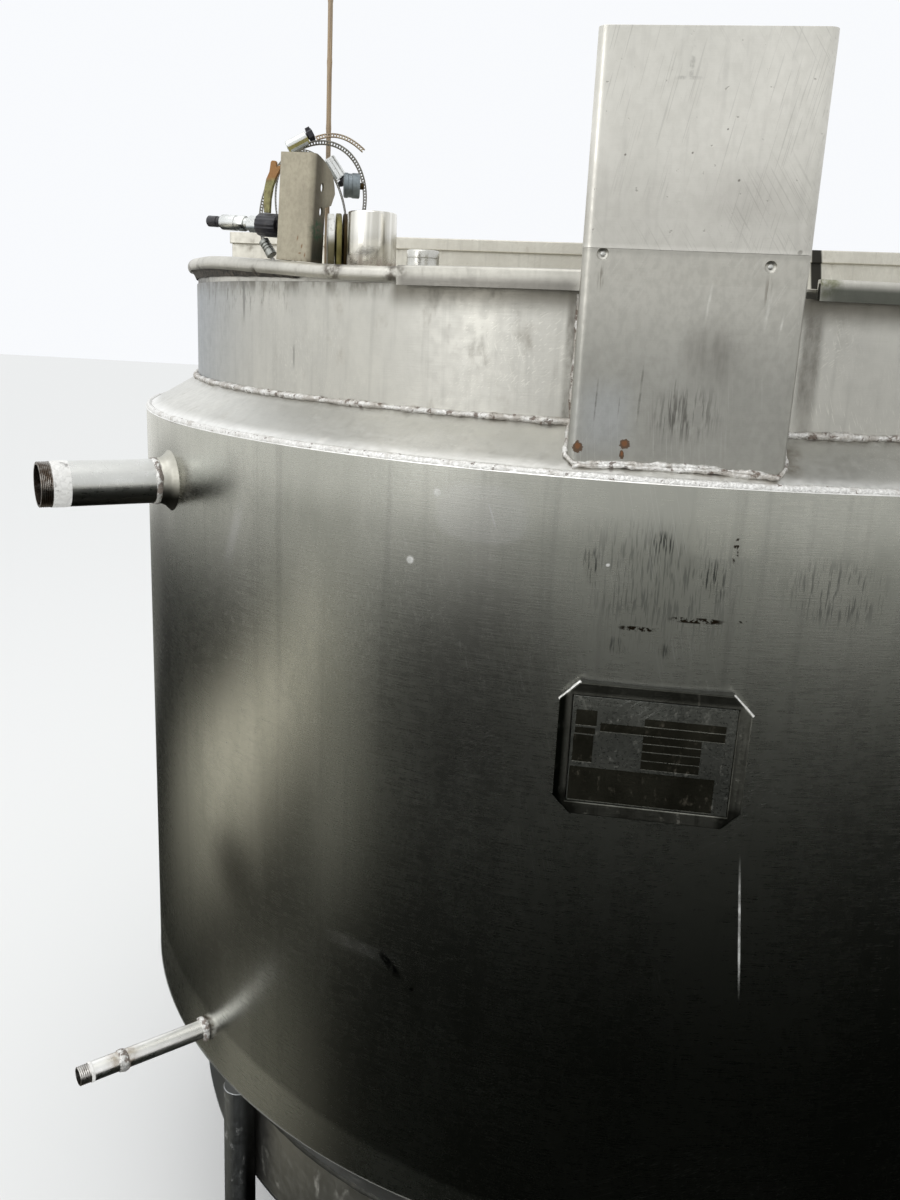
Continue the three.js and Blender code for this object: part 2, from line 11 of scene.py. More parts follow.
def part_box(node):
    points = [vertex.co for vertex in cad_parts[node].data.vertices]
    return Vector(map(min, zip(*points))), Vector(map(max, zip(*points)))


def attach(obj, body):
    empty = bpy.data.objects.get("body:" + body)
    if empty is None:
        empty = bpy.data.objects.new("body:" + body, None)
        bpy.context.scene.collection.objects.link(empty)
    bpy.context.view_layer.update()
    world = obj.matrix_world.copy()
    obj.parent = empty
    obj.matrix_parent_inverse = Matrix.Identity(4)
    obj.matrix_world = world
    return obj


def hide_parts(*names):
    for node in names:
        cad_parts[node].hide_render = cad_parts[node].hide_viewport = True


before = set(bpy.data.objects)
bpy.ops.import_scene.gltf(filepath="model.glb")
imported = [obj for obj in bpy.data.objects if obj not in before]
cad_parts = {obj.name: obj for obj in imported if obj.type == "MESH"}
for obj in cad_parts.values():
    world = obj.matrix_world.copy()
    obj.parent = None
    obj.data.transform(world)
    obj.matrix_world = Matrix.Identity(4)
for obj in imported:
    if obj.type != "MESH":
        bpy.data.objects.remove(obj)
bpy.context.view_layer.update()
mm = 0.001

# Camera
# Solved from the tank's own circles in the photograph, for a frame of 900 by 1200 pixels.
photo_height = 1200
focal_pixels = 1048.5
camera_place = Vector((-66.26, -1897.43, 1599.48)) * mm
camera_heading, camera_pitch, camera_roll = (math.radians(turn) for turn in (98.0726, -14.7537, 2.716))
lens = bpy.data.cameras.new("photo_camera")
lens.sensor_width = 36.0
lens.lens = lens.sensor_width * focal_pixels / photo_height
lens.clip_end = 200.0
ahead = Vector((
    math.cos(camera_heading) * math.cos(camera_pitch),
    math.sin(camera_heading) * math.cos(camera_pitch),
    math.sin(camera_pitch),
))
sideways_level = ahead.cross(Vector((0, 0, 1))).normalized()
rise = sideways_level.cross(ahead)
camera_right = sideways_level * math.cos(camera_roll) + rise * math.sin(camera_roll)
camera_up = rise * math.cos(camera_roll) - sideways_level * math.sin(camera_roll)
camera = bpy.data.objects.new("photo_camera", lens)
camera.matrix_world = Matrix.Translation(camera_place) @ Matrix(
    (camera_right, camera_up, -ahead)
).transposed().to_4x4()
bpy.context.scene.collection.objects.link(camera)
bpy.context.scene.camera = camera

# Studio floor, sky and lights
# A pale matt floor under a soft pale sky. What the steel mirrors is a little plainer than what
# shows behind it: light from above and from the left, and a darker floor close in front.
class Shade:
    """A value, place or colour in a shader tree. Reckoning with it adds the nodes that do so."""

    def __init__(self, tree, socket):
        self.tree = tree
        self.socket = socket

    def new(self, kind, inputs, result=0, **settings):
        """Another node in the same tree."""
        return shade(self.tree, kind, inputs, result, **settings)

    def sum_of(self, operation, first, second=0.0):
        return self.new("Math", {0: first, 1: second, 2: 0.0}, operation=operation)

    def __add__(self, other):
        return self.sum_of("ADD", self, other)

    def __radd__(self, other):
        return self.sum_of("ADD", other, self)

    def __sub__(self, other):
        return self.sum_of("SUBTRACT", self, other)

    def __rsub__(self, other):
        return self.sum_of("SUBTRACT", other, self)

    def __mul__(self, other):
        return self.sum_of("MULTIPLY", self, other)

    def __truediv__(self, other):
        return self.sum_of("DIVIDE", self, other)

    def __rtruediv__(self, other):
        return self.sum_of("DIVIDE", other, self)

    def __pow__(self, other):
        return self.sum_of("POWER", self, other)

    def __or__(self, other):
        """The larger of the two."""
        return self.sum_of("MAXIMUM", self, other)

    def __abs__(self):
        return self.sum_of("ABSOLUTE", self)

    def root(self):
        return self.sum_of("SQRT", self)

    def below(self, limit):
        return self.sum_of("LESS_THAN", self, limit)

    def along(self, axis):
        """A place's X, Y or Z."""
        return self.new("SeparateXYZ", {0: self}, axis)

    def ramp(self, start, end, low=0.0, high=1.0):
        """Between start and end it becomes low to high, softly."""
        return self.new("MapRange", {
            "Value": self, "From Min": start, "From Max": end, "To Min": low, "To Max": high,
        }, "Result", interpolation_type="SMOOTHSTEP")

    def between(self, first, second):
        """A colour from the first, where this is 0, to the second, where it is 1."""
        first, second = (
            (*tint, 1.0) if isinstance(tint, (tuple, list)) else tint for tint in (first, second)
        )
        return self.new("Mix", {"Factor": self, 6: first, 7: second}, 2, data_type="RGBA", blend_type="MIX")

    def layered(self, *layers):
        """This colour with others laid over it, each through its own mask."""
        colour = self
        for mask, tint in layers:
            colour = mask.between(colour, tint)
        return colour


def shade(tree, kind, inputs=None, result=0, **settings):
    """Adds a shader node, sets it and fills its inputs; gives one of its results."""
    node = tree.nodes.new("ShaderNode" + kind)
    for key, value in settings.items():
        setattr(node, key, value)
    for key, value in (inputs or {}).items():
        if isinstance(value, Shade):
            tree.links.new(value.socket, node.inputs[key])
        else:
            node.inputs[key].default_value = value
    return Shade(tree, node.outputs[result]) if len(node.outputs) else None


def link(obj):
    bpy.context.scene.collection.objects.link(obj)
    return obj


floor_half = 30.0
floor_mesh = bmesh.new()
bmesh.ops.create_grid(floor_mesh, x_segments=1, y_segments=1, size=floor_half)
floor_data = bpy.data.meshes.new("studio_floor")
floor_mesh.to_mesh(floor_data)
floor_mesh.free()
floor_finish = bpy.data.materials.new("studio_floor")
floor_finish.use_nodes = True
floor_tree = floor_finish.node_tree
floor_tree.nodes.clear()
floor_place = shade(floor_tree, "TexCoord", result="Object")
floor_reach = (floor_place.along("X") ** 2.0 + floor_place.along("Y") ** 2.0).root()


def floor_patch(middle, heading, half_length, half_width, fade):
    """A soft long patch on the floor, by its middle, its heading in degrees and its half sizes."""
    turned = floor_place.new("VectorRotate", {
        "Vector": floor_place, "Center": (*middle, 0.0), "Angle": -math.radians(heading),
    }, rotation_type="Z_AXIS")
    away = turned.new("VectorMath", {0: turned, 1: (*middle, 0.0)}, operation="SUBTRACT")
    along = abs(away.along("X")).ramp(half_length + fade, half_length - fade)
    return along * abs(away.along("Y")).ramp(half_width + fade, half_width - fade)


floor_behind = (floor_place.along("Y") + floor_place.along("X") * 0.5).ramp(0.35, 1.0)
floor_shade = floor_patch((-3.4, -6.5), -120.0, 3.5, 0.6, 1.2) | floor_patch(
    (-6.0, 4.0), 150.0, 4.0, 1.6, 1.2,
)
floor_mirrored = floor_behind.between((0.004, 0.005, 0.003), (0.26, 0.26, 0.235)).layered(
    (floor_reach.ramp(4.8, 8.8), (0.60, 0.59, 0.55)),
    (floor_reach.ramp(6.8, 9.2) * 0.9, (1.0, 0.98, 0.93)),
    (floor_shade * 0.6, (0.02, 0.02, 0.02)),
    (floor_patch((-2.55, -1.95), -147.0, 0.85, 0.22, 0.42), (0.36, 0.35, 0.30)),
    (floor_patch((-3.55, -1.2), -127.0, 1.9, 0.55, 0.6), (0.90, 0.85, 0.71)),
    (floor_patch((-1.25, -0.7), 0.0, 0.35, 0.30, 0.28), (0.24, 0.23, 0.19)),
)
shade(floor_tree, "OutputMaterial", {"Surface": shade(floor_tree, "MixShader", {
    0: shade(floor_tree, "LightPath", result="Is Glossy Ray"),
    1: shade(floor_tree, "BsdfDiffuse", {"Color": (0.80, 0.80, 0.79, 1.0)}),
    2: shade(floor_tree, "BsdfDiffuse", {"Color": floor_mirrored}),
})})
floor_data.materials.append(floor_finish)
studio_floor = link(bpy.data.objects.new("studio_floor", floor_data))

sky = bpy.data.worlds.new("studio_sky")
sky.use_nodes = True
bpy.context.scene.world = sky
bpy.context.scene.view_settings.view_transform = "Standard"
sky_tree = sky.node_tree
sky_tree.nodes.clear()
sky_way = shade(sky_tree, "TexCoord", result="Generated")
sky_strength = sky_way.along("Z").ramp(-0.05, 0.16, 0.8, 1.12) * sky_way.along("X").ramp(
    -0.9, 0.9, 1.08, 0.86,
)
shade(sky_tree, "OutputWorld", {"Surface": shade(sky_tree, "MixShader", {
    0: shade(sky_tree, "LightPath", result="Is Camera Ray"),
    1: shade(sky_tree, "Background", {"Color": (0.97, 0.985, 1.0, 1.0), "Strength": sky_strength}),
    2: shade(sky_tree, "Background", {"Color": (0.945, 0.96, 0.985, 1.0), "Strength": 1.0}),
})})
# Soft boxes by their place, aim, width, height and power.
for name, place, aim, width, height, power in (
    ("overhead_softbox", (-1.2, -1.4, 4.6), (0.0, -0.3, 1.2), 3.6, 2.6, 34.0),
    ("front_left_softbox", (-2.6, -3.4, 2.4), (-0.3, -0.7, 1.4), 1.2, 2.4, 18.0),
):
    light = bpy.data.lights.new(name, "AREA")
    light.shape = "RECTANGLE"
    light.size = width
    light.size_y = height
    light.energy = power
    box = link(bpy.data.objects.new(name, light))
    box.location = place
    box.rotation_euler = (Vector(aim) - Vector(place)).to_track_quat("-Z", "Y").to_euler()
    box.visible_camera = False

# Jacket wall
# Two stainless plates rolled into a shell and welded to each other at the sides. It has pressed
# waves from rolling, a shallow dish round each pipe, and years of rain runs and scratches.
front_low, front_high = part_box("jacket_wall_front")
jacket_radius = front_high.x
jacket_sheet = 4.8 * mm
jacket_foot = front_low.z
jacket_head = front_high.z
jacket_rows = 46
jacket_steps = 288
upper_pipe_angle = -141.1
upper_pipe_height = 1373 * mm
lower_pipe_angle = -134.0
lower_pipe_height = 565.6 * mm


def turned(degrees, axis, *place):
    """A turn about an axis, and then a move to a place where one is given."""
    turn = Matrix.Rotation(math.radians(degrees), 4, axis)
    return Matrix.Translation(place) @ turn if place else turn


def outwards(point):
    """The level direction from the tank's axis to a point."""
    return Vector((point.x, point.y, 0.0)).normalized()


def spun(profile, steps, sweep=360.0, start=0.0):
    """Spins a closed profile of (radius, height) points about Z, all round or part of the way."""
    mesh = bmesh.new()
    points = [mesh.verts.new((radius, 0.0, height)) for radius, height in profile]
    edges = [mesh.edges.new(pair) for pair in zip(points, points[1:] + points[:1])]
    full = sweep >= 360.0
    ends = [] if full else [mesh.faces.new(points)]
    bmesh.ops.spin(
        mesh, geom=points + edges + ends, cent=(0, 0, 0), axis=(0, 0, 1), angle=math.radians(sweep),
        steps=steps, use_merge=full,
    )
    bmesh.ops.remove_doubles(mesh, verts=mesh.verts, dist=1e-6)
    bmesh.ops.recalc_face_normals(mesh, faces=mesh.faces)
    bmesh.ops.rotate(mesh, verts=mesh.verts, matrix=Matrix.Rotation(math.radians(start), 3, "Z"))
    return mesh


def piece(name, mesh, finish, slot, *nodes, sharp=35.0, soft=None):
    """Turns a bmesh into a finished piece that rides with the tank and may replace CAD nodes.

    soft gives the width, segments and angle limit by which its sharp edges are rounded a little.
    """
    data = bpy.data.meshes.new(name)
    mesh.to_mesh(data)
    mesh.free()
    data.materials.append(finish)
    data.shade_smooth()
    data.set_sharp_from_angle(angle=math.radians(sharp))
    obj = link(bpy.data.objects.new(name, data))
    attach(obj, "root")
    if nodes:
        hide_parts(*nodes)
    if soft:
        width, segments, limit = soft
        edge = obj.modifiers.new("soft_edge", "BEVEL")
        edge.width = width * mm
        edge.segments = segments
        edge.limit_method = "ANGLE"
        edge.angle_limit = math.radians(limit)
    return obj


def rows_between(low, high, count):
    return [low + (high - low) * step / count for step in range(count + 1)]


def effect(name, output, **inputs):
    """Starts a shader node group; gives the group and its inputs, by name."""
    tree = bpy.data.node_groups.new(name, "ShaderNodeTree")
    for label, value in inputs.items():
        kind = "Float" if isinstance(value, float) else "Vector"
        socket = tree.interface.new_socket(name=label, in_out="INPUT", socket_type="NodeSocket" + kind)
        if value is not None:
            socket.default_value = value
    tree.interface.new_socket(name=output, in_out="OUTPUT", socket_type="NodeSocketFloat")
    start = tree.nodes.new("NodeGroupInput")
    return tree, *(Shade(tree, start.outputs[label]) for label in inputs)


def give(tree, value):
    """Ends an effect with the value it gives."""
    tree.links.new(value.socket, tree.nodes.new("NodeGroupOutput").inputs[0])

# Stretched noise: fine grain where it is stretched a lot, soft clouds where it isn't.
grain_group, grain_place, grain_scale, grain_detail, grain_low, grain_high = effect(
    "stretched_grain", "Grain", Place=None, Scale=(1.0, 1.0, 1.0), Detail=3.0, Low=0.3, High=0.7,
)
grain_scaled = grain_place.new("VectorMath", {0: grain_place, 1: grain_scale}, operation="MULTIPLY")
give(grain_group, grain_scaled.new("TexNoise", {
    "Vector": grain_scaled, "Scale": 1.0, "Detail": grain_detail, "Roughness": 0.62,
}).ramp(grain_low, grain_high))

# Fine straight scratches, all leaning one way: a noise drawn out very long, kept in patches.
scratch_group, scratch_place, scratch_lean, scratch_fine, scratch_long, scratch_few = effect(
    "fine_scratches", "Scratch", Place=None, Lean=0.3, Fine=420.0, Long=9.0, Few=0.70,
)
scratch_turned = scratch_place.new("VectorRotate", {
    "Vector": scratch_place, "Angle": scratch_lean,
}, rotation_type="Y_AXIS")
scratch_stretch = scratch_place.new("CombineXYZ", {"X": scratch_fine, "Y": scratch_fine, "Z": scratch_long})
scratch_scaled = scratch_place.new(
    "VectorMath", {0: scratch_turned, 1: scratch_stretch}, operation="MULTIPLY",
)
scratch_line = scratch_place.new("TexNoise", {"Vector": scratch_scaled, "Scale": 1.0, "Detail": 0.0})
scratch_patch = scratch_place.new("TexNoise", {"Vector": scratch_turned, "Scale": 6.5, "Detail": 2.0})
give(scratch_group, scratch_line.ramp(scratch_few, scratch_few + 0.05) * scratch_patch.ramp(0.50, 0.64))

# One mark on the front of the tank, by its middle and half size in X and Z. It may lean.
mark_group, mark_place, mark_middle, mark_half, mark_lean, mark_soft, mark_square = effect(
    "front_mark", "Mark", Place=None, Middle=(0.0, 0.0, 0.0), Half=(0.1, 0.1, 0.1), Lean=0.0, Soft=0.5,
    Square=3.0,
)
mark_away = mark_place.new("VectorMath", {0: mark_place, 1: mark_middle}, operation="SUBTRACT")
mark_across = mark_away.along("X") - mark_away.along("Z") * mark_lean
mark_share = (
    abs(mark_across / mark_half.along("X")) ** mark_square
    + abs(mark_away.along("Z") / mark_half.along("Z")) ** mark_square
) ** (1.0 / mark_square)
give(mark_group, mark_share.ramp(1.0, 1.0 - mark_soft) * mark_place.along("Y").below(0.0))


def largest(values):
    """The largest of several shader values."""
    result = None
    for value in values:
        result = value if result is None else result | value
    return result


class Place(Shade):
    """Object coordinates in a material, with the masks that are found by them."""

    def grain(self, across, along, low=0.3, high=0.7, detail=3.0, shift=0.0):
        """Noise at so many cells a metre round the tank and up it."""
        place = self.new("VectorMath", {0: self, 1: (shift,) * 3}, operation="ADD") if shift else self
        return self.new("Group", {
            "Place": place, "Scale": (across, across, along), "Low": low, "High": high, "Detail": detail,
        }, "Grain", node_tree=grain_group)

    def mark(self, x, z, half_x, half_z, lean=0.0, soft=0.5, square=3.0):
        """A mark on the front, by its middle and half size in millimetres."""
        return self.new("Group", {
            "Place": self, "Middle": (x * mm, 0.0, z * mm), "Half": (half_x * mm, 1.0, half_z * mm),
            "Lean": lean, "Soft": soft, "Square": square,
        }, "Mark", node_tree=mark_group)

    def spot(self, point, size, soft=0.6):
        """A round stain about a point."""
        away = self.new("VectorMath", {0: self, 1: point}, "Value", operation="DISTANCE")
        return away.ramp(size, size * (1.0 - soft))

    def level(self, start, end, axis="Z"):
        """Rises from 0 at start to 1 at end along an axis."""
        return self.along(axis).ramp(start, end)

    def scratches(self, first_lean, second_lean, coarse=1.0):
        """Two sets of fine scratches that cross."""
        return largest(self.new("Group", {
            "Place": self, "Lean": lean, "Fine": 900.0 * coarse, "Long": 14.0 * coarse, "Few": 0.68,
        }, "Scratch", node_tree=scratch_group) for lean in (first_lean, second_lean))


def start_finish(name):
    """A new material; gives it and its Object coordinates."""
    finish = bpy.data.materials.new(name)
    finish.use_nodes = True
    tree = finish.node_tree
    tree.nodes.clear()
    return finish, Place(tree, shade(tree, "TexCoord", result="Object").socket)


def dress(finish, colour, roughness, relief, depth, metallic=0.0):
    """Ends a material: its shader and what feeds it, with relief of a depth in millimetres."""
    tree = finish.node_tree
    bump = shade(tree, "Bump", {"Height": relief, "Distance": depth * mm, "Strength": 1.0})
    shader = shade(tree, "BsdfPrincipled", {
        "Base Color": colour, "Roughness": roughness, "Metallic": metallic, "Normal": bump,
    })
    shade(tree, "OutputMaterial", {"Surface": shader})
    return finish


def steel_finish(
    name, light, dark, roughness, grime=0.35, runs=0.3, coarse=1.0, warm=(0.30, 0.26, 0.20), stains=None,
):
    """Worn stainless: mill grain, cloudy tone, rain runs, fine scratches and brownish dirt.

    stains gives, for a place, each further stain's mask and colour.
    """
    finish, place = start_finish(name)
    clouds = place.grain(5.0 * coarse, 3.0 * coarse, 0.28, 0.72, 5.0)
    mottling = place.grain(90.0 * coarse, 70.0 * coarse, 0.35, 0.68, 3.0, 3.1)
    rolled = place.grain(26.0 * coarse, 900.0, 0.25, 0.75, 2.0, 7.7)
    run = place.grain(75.0 * coarse, 4.0, 0.52, 0.72, 3.0, 1.3)
    dirt = place.grain(38.0 * coarse, 22.0 * coarse, 0.56, 0.80, 5.0, 9.2)
    scratch = place.scratches(0.35, -0.9, coarse)
    colour = clouds.between(light, dark).layered(
        (mottling * 0.25, dark),
        (run * runs, [value * 0.45 for value in dark]),
        (dirt * grime, warm),
        (scratch * 0.22, [min(1.0, value * 1.4) for value in light]),
        *(stains(place) if stains else ()),
    )
    roughness = roughness + (mottling * 0.07 + dirt * 0.22) - rolled * 0.05
    relief = rolled * 0.4 + mottling * 0.6 - scratch * 0.6
    return dress(finish, colour, roughness, relief, 0.06, 1.0 - dirt * grime)

# The jacket's own finish carries the marks that show on its front, each at its place.
finish, place = start_finish("jacket_plate")
clouds = place.grain(4.0, 1.6, 0.30, 0.70, 5.0)
broad = place.grain(11.0, 1.1, 0.30, 0.72, 3.0, 4.4)
mottling = place.grain(120.0, 80.0, 0.34, 0.68, 3.0, 3.1)
rolled = place.grain(34.0, 1100.0, 0.25, 0.75, 2.0, 7.7)
fine_run = place.grain(430.0, 34.0, 0.50, 0.62, 2.0, 1.3)
long_run = place.grain(60.0, 2.0, 0.52, 0.74, 3.0, 6.1)
dirt = place.grain(30.0, 18.0, 0.60, 0.82, 6.0, 9.2)
scratch = place.scratches(0.25, -1.1)
jacket_dark = (0.30, 0.305, 0.27)
# Darker towards the lower front right: painted shade.
lower_film = place.level(1.3, 0.75) * place.along("X").ramp(-0.5, 0.05, 0.35, 1.0) * place.level(
    0.1, -0.55, "Y",
)
shaded_part = place.mark(-192, 1215, 158, 190, 0.0, 0.8, 2.6) * 0.50
shaded_part = shaded_part | place.mark(-522, 875, 62, 85, 0.0, 0.9, 2.0) * 0.75
# Each smear by its middle, its half size and its share.
smears = largest(
    [place.mark(-2, 1350, 112, 88, -0.1, 0.7) * 0.42] + [
        place.mark(x, z, half_x, half_z, -0.1, 0.7, 2.4) * share
        for x, z, half_x, half_z, share in (
            (-71, 1366, 14, 30, 0.9), (-2, 1396, 17, 18, 0.9), (50, 1361, 20, 32, 0.9),
            (-40, 1287, 16, 13, 0.8), (9, 1285, 9, 12, 0.8), (174, 1352, 68, 46, 0.55),
            (-20, 1335, 70, 30, 0.5),
        )
    ]
)
smear = smears * fine_run
# Each row of dots by its middle, its half size, where its noise starts and the noise's shift.
dots = largest(
    place.mark(x, z, half_x, half_z, 0.0, 0.35) * place.grain(230.0, 260.0, low, low + 0.10, 2.0, shift)
    for x, z, half_x, half_z, low, shift in (
        (38, 1319.6, 31, 3.6, 0.44, 5.5), (-21, 1306, 21, 3.0, 0.44, 8.5), (87, 1320.5, 13, 2.4, 0.54, 2.5),
        (69, 1395, 3.4, 16, 0.54, 4.5),
    )
)
white_marks = largest((
    place.mark(120.5, 972, 1.9, 97, -0.108, 0.6), place.mark(-267, 1350, 5.5, 5.5, 0.0, 0.5, 2.0),
    place.mark(-239, 1427, 5.5, 5.5, 0.0, 0.5, 2.0) * 0.6, place.mark(-55.4, 1370, 2.6, 2.2, 0.2, 0.5, 2.0),
)) * (0.55 + mottling * 0.45)
rubbed = largest((
    place.mark(-178, 1409, 1.2, 17, -0.37, 0.5), place.mark(-515, 1334, 12, 58, 0.3, 0.9) * 0.5,
    place.mark(-190, 1410, 56, 35, 0.0, 0.25) * 0.28, place.mark(-312, 854, 66, 14, -0.9, 0.9) * 0.75,
))
scuffs = place.mark(-274, 846, 11, 19, -0.8, 0.6) | place.mark(-245, 823, 4, 4, 0.0, 0.6, 2.0)
# A lighter band along the jacket's foot, lower at the sides: a painted highlight.
foot_band = (place.along("Z") - abs(place.along("X")) * 0.1).ramp(0.550, 0.537)
colour = clouds.between((0.48, 0.48, 0.44), jacket_dark).layered(
    (broad * 0.45, jacket_dark),
    (mottling * 0.07, (0.20, 0.20, 0.19)),
    (lower_film * 0.84, (0.060, 0.064, 0.053)),
    # A lighter band just under the jacket's top edge: a painted highlight.
    (place.level(1.375, 1.430) * 0.40, (0.62, 0.62, 0.57)),
    (shaded_part, (0.07, 0.07, 0.06)),
    (smears * 0.22, (0.13, 0.13, 0.10)),
    (smear, (0.045, 0.047, 0.042)),
    (place.mark(54, 1410, 44, 28, 0.0, 0.25) * 0.35, (0.44, 0.44, 0.39)),
    (long_run * 0.16, (0.12, 0.12, 0.115)),
    (dots, (0.020, 0.014, 0.008)),
    (white_marks * 0.8, (0.62, 0.62, 0.60)),
    (rubbed, (0.58, 0.58, 0.57)),
    (scuffs * place.grain(90.0, 60.0, 0.34, 0.56, 3.0, 2.7), (0.03, 0.03, 0.03)),
    (dirt * 0.10, (0.16, 0.14, 0.11)),
    (scratch * 0.18, (0.60, 0.60, 0.58)),
    (foot_band * 0.60, (0.62, 0.62, 0.57)),
)
roughness = 0.26 + clouds * 0.06 + mottling * 0.02 + smear * 0.25 - rolled * 0.05
relief = rolled * 0.22 + mottling * 0.05 - scratch * 0.4
jacket_finish = dress(finish, colour, roughness, relief, 0.05, 1.0 - white_marks * 0.8)

jacket_mesh = spun(
    [(jacket_radius, height) for height in rows_between(jacket_foot, jacket_head, jacket_rows)]
    + [(jacket_radius - jacket_sheet, height) for height in (jacket_head, jacket_foot)],
    jacket_steps,
)
pipe_roots = [
    (turned(angle + turn, "Z") @ Vector((jacket_radius, 0.0, height)), size)
    for turn in (0, 180)
    for angle, height, size in (
        (upper_pipe_angle, upper_pipe_height, 62 * mm), (lower_pipe_angle, lower_pipe_height, 40 * mm),
    )
]
wave_depth = 1.5 * mm
dish_depth = 3.0 * mm
for vert in jacket_mesh.verts:
    if vert.co.xy.length < jacket_radius - jacket_sheet / 2:
        continue
    wave_at = Vector((vert.co.x * 3.4, vert.co.y * 3.4, vert.co.z * 1.5))
    sink = wave_depth * (0.5 + 0.5 * noise.noise(wave_at))
    for root, size in pipe_roots:
        sink += dish_depth * math.exp(-((vert.co - root).length / size) ** 2)
    vert.co -= outwards(vert.co) * sink
piece("jacket_shell", jacket_mesh, jacket_finish, "jacket_steel", "jacket_wall_front", "jacket_wall_rear")

# Inner vessel
# Quarter inch plate, bare at the neck and at the bottom, closed below by a dished head that
# drains through a flanged pipe. The neck was pickled and is lighter than the jacket.
def neck_stains(place):
    """Soot and painted shade under the rim, dirt left of the column and painted shadow with dirt right of
    it, and a blue cast at the left.
    """
    broken = place.grain(60.0, 25.0, 0.34, 0.66, 4.0, 1.1)
    drops = place.grain(170.0, 40.0, 0.56, 0.66, 3.0, 3.7)
    # Darker under the rim: soot with painted shade.
    soot = largest((
        place.level(1.616, 1.643) * (0.25 + broken * 0.65),
        place.level(1.606, 1.634) * place.level(-0.33, -0.31, "X") * 0.85,
        place.level(1.585, 1.640) * place.level(-0.38, -0.55, "X") * drops * 0.8,
    ))
    # Right of the column: painted shadow of the column, with dirt.
    corner_right = place.mark(131, 1575, 14, 105, -0.02, 0.6) * (0.45 + broken * 0.35)
    corner_left = place.mark(-112, 1560, 9, 110, 0.0, 0.6) * (0.35 + broken * 0.5)
    streak = place.mark(-548, 1620, 3.2, 36, -0.02, 0.7) * 0.65 | place.mark(
        -456, 1553, 2.6, 20, 0.0, 0.8,
    ) * 0.5
    return (
        (place.level(-0.50, -0.70, "X") * 0.88, (0.27, 0.29, 0.31)),
        (soot, (0.13, 0.12, 0.095)),
        (corner_left | corner_right, (0.13, 0.12, 0.10)),
        (streak, (0.17, 0.165, 0.15)),
    )


neck_finish = steel_finish(
    "neck_plate", (0.64, 0.625, 0.565), (0.50, 0.49, 0.45), 0.40, 0.30, 0.16, stains=neck_stains,
)
# A darker copy of the plate for the dished head and the bottom cone under the tank: painted shade.
shade_finish = steel_finish("lower_plate", (0.42, 0.42, 0.41), (0.30, 0.30, 0.29), 0.42, 0.5, 0.35)
vessel_low, vessel_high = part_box("vessel_wall_front")
vessel_radius = vessel_high.x
vessel_sheet = 6.35 * mm
vessel_inside = vessel_radius - vessel_sheet
vessel_mesh = spun(
    [(vessel_radius, height) for height in rows_between(vessel_low.z, vessel_high.z, 30)]
    + [(vessel_inside, vessel_high.z), (vessel_inside, vessel_low.z)],
    256,
)
for vert in vessel_mesh.verts:
    if vert.co.xy.length > vessel_radius - vessel_sheet / 2:
        vert.co -= outwards(vert.co) * (1.0 * mm * (0.5 + 0.5 * noise.noise(vert.co * 4.2)))
piece("vessel_shell", vessel_mesh, neck_finish, "neck_steel", "vessel_wall_front", "vessel_wall_rear")

head_low, head_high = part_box("bottom_head")
outlet_low, outlet_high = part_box("bottom_outlet")
head_depth = head_high.z - head_low.z
pipe_out_radius = 30.15 * mm
pipe_in_radius = 26.25 * mm
flange_radius = outlet_high.x
flange_top = outlet_low.z + 12 * mm


def dished(radius, depth, count):
    """Half an ellipse from the rim down to the outlet's bore."""
    angles = rows_between(0.0, math.acos(pipe_in_radius / radius), count)
    return [(radius * math.cos(turn), head_high.z - depth * math.sin(turn)) for turn in angles]


head_mesh = spun(
    dished(vessel_radius, head_depth, 24) + dished(vessel_inside, head_depth - vessel_sheet, 24)[::-1], 192,
)
piece("dished_head", head_mesh, shade_finish, "jacket_steel", "bottom_head")
pipe_finish = steel_finish("pipe_steel", (0.60, 0.60, 0.57), (0.42, 0.42, 0.40), 0.36, 0.45, 0.2, 3.0)
outlet_mesh = spun(
    [
        (pipe_in_radius, outlet_low.z), (flange_radius - 1 * mm, outlet_low.z),
        (flange_radius, outlet_low.z + 1 * mm), (flange_radius, flange_top - 1 * mm),
        (flange_radius - 1 * mm, flange_top), (pipe_out_radius + 3 * mm, flange_top),
        (pipe_out_radius, flange_top + 3 * mm), (pipe_out_radius, outlet_high.z),
        (pipe_in_radius, outlet_high.z),
    ],
    64,
)
piece("outlet_pipe", outlet_mesh, pipe_finish, "pipe_steel", "bottom_outlet")

# Top and bottom closures
# Plate cones that close the jacket to the vessel: a flat one on top, its outer edge laid over the
# jacket's, and a steeper one below.
cone_foot = jacket_head + 0.3 * mm
cone_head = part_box("top_closure")[1].z
cone_inner = vessel_radius + 0.3 * mm
cone_sheet = 5.6 * mm


def cone_height(radius):
    """Height of the top closure's upper face at a radius."""
    share = (jacket_radius - radius) / (jacket_radius - cone_inner)
    return cone_foot + (cone_head - cone_foot) * share


cone_mesh = spun(
    [(jacket_radius, cone_foot - 0.6 * mm)]
    + [(radius, cone_height(radius)) for radius in rows_between(jacket_radius - 1.2 * mm, cone_inner, 14)]
    + [(cone_inner, cone_head - cone_sheet), (jacket_radius - jacket_sheet, cone_foot - 0.6 * mm)],
    jacket_steps,
)
for vert in cone_mesh.verts:
    if cone_inner + 8 * mm < vert.co.xy.length < jacket_radius - 6 * mm:
        vert.co.z -= 1.6 * mm * (0.5 + 0.5 * noise.noise(vert.co * 7.0))


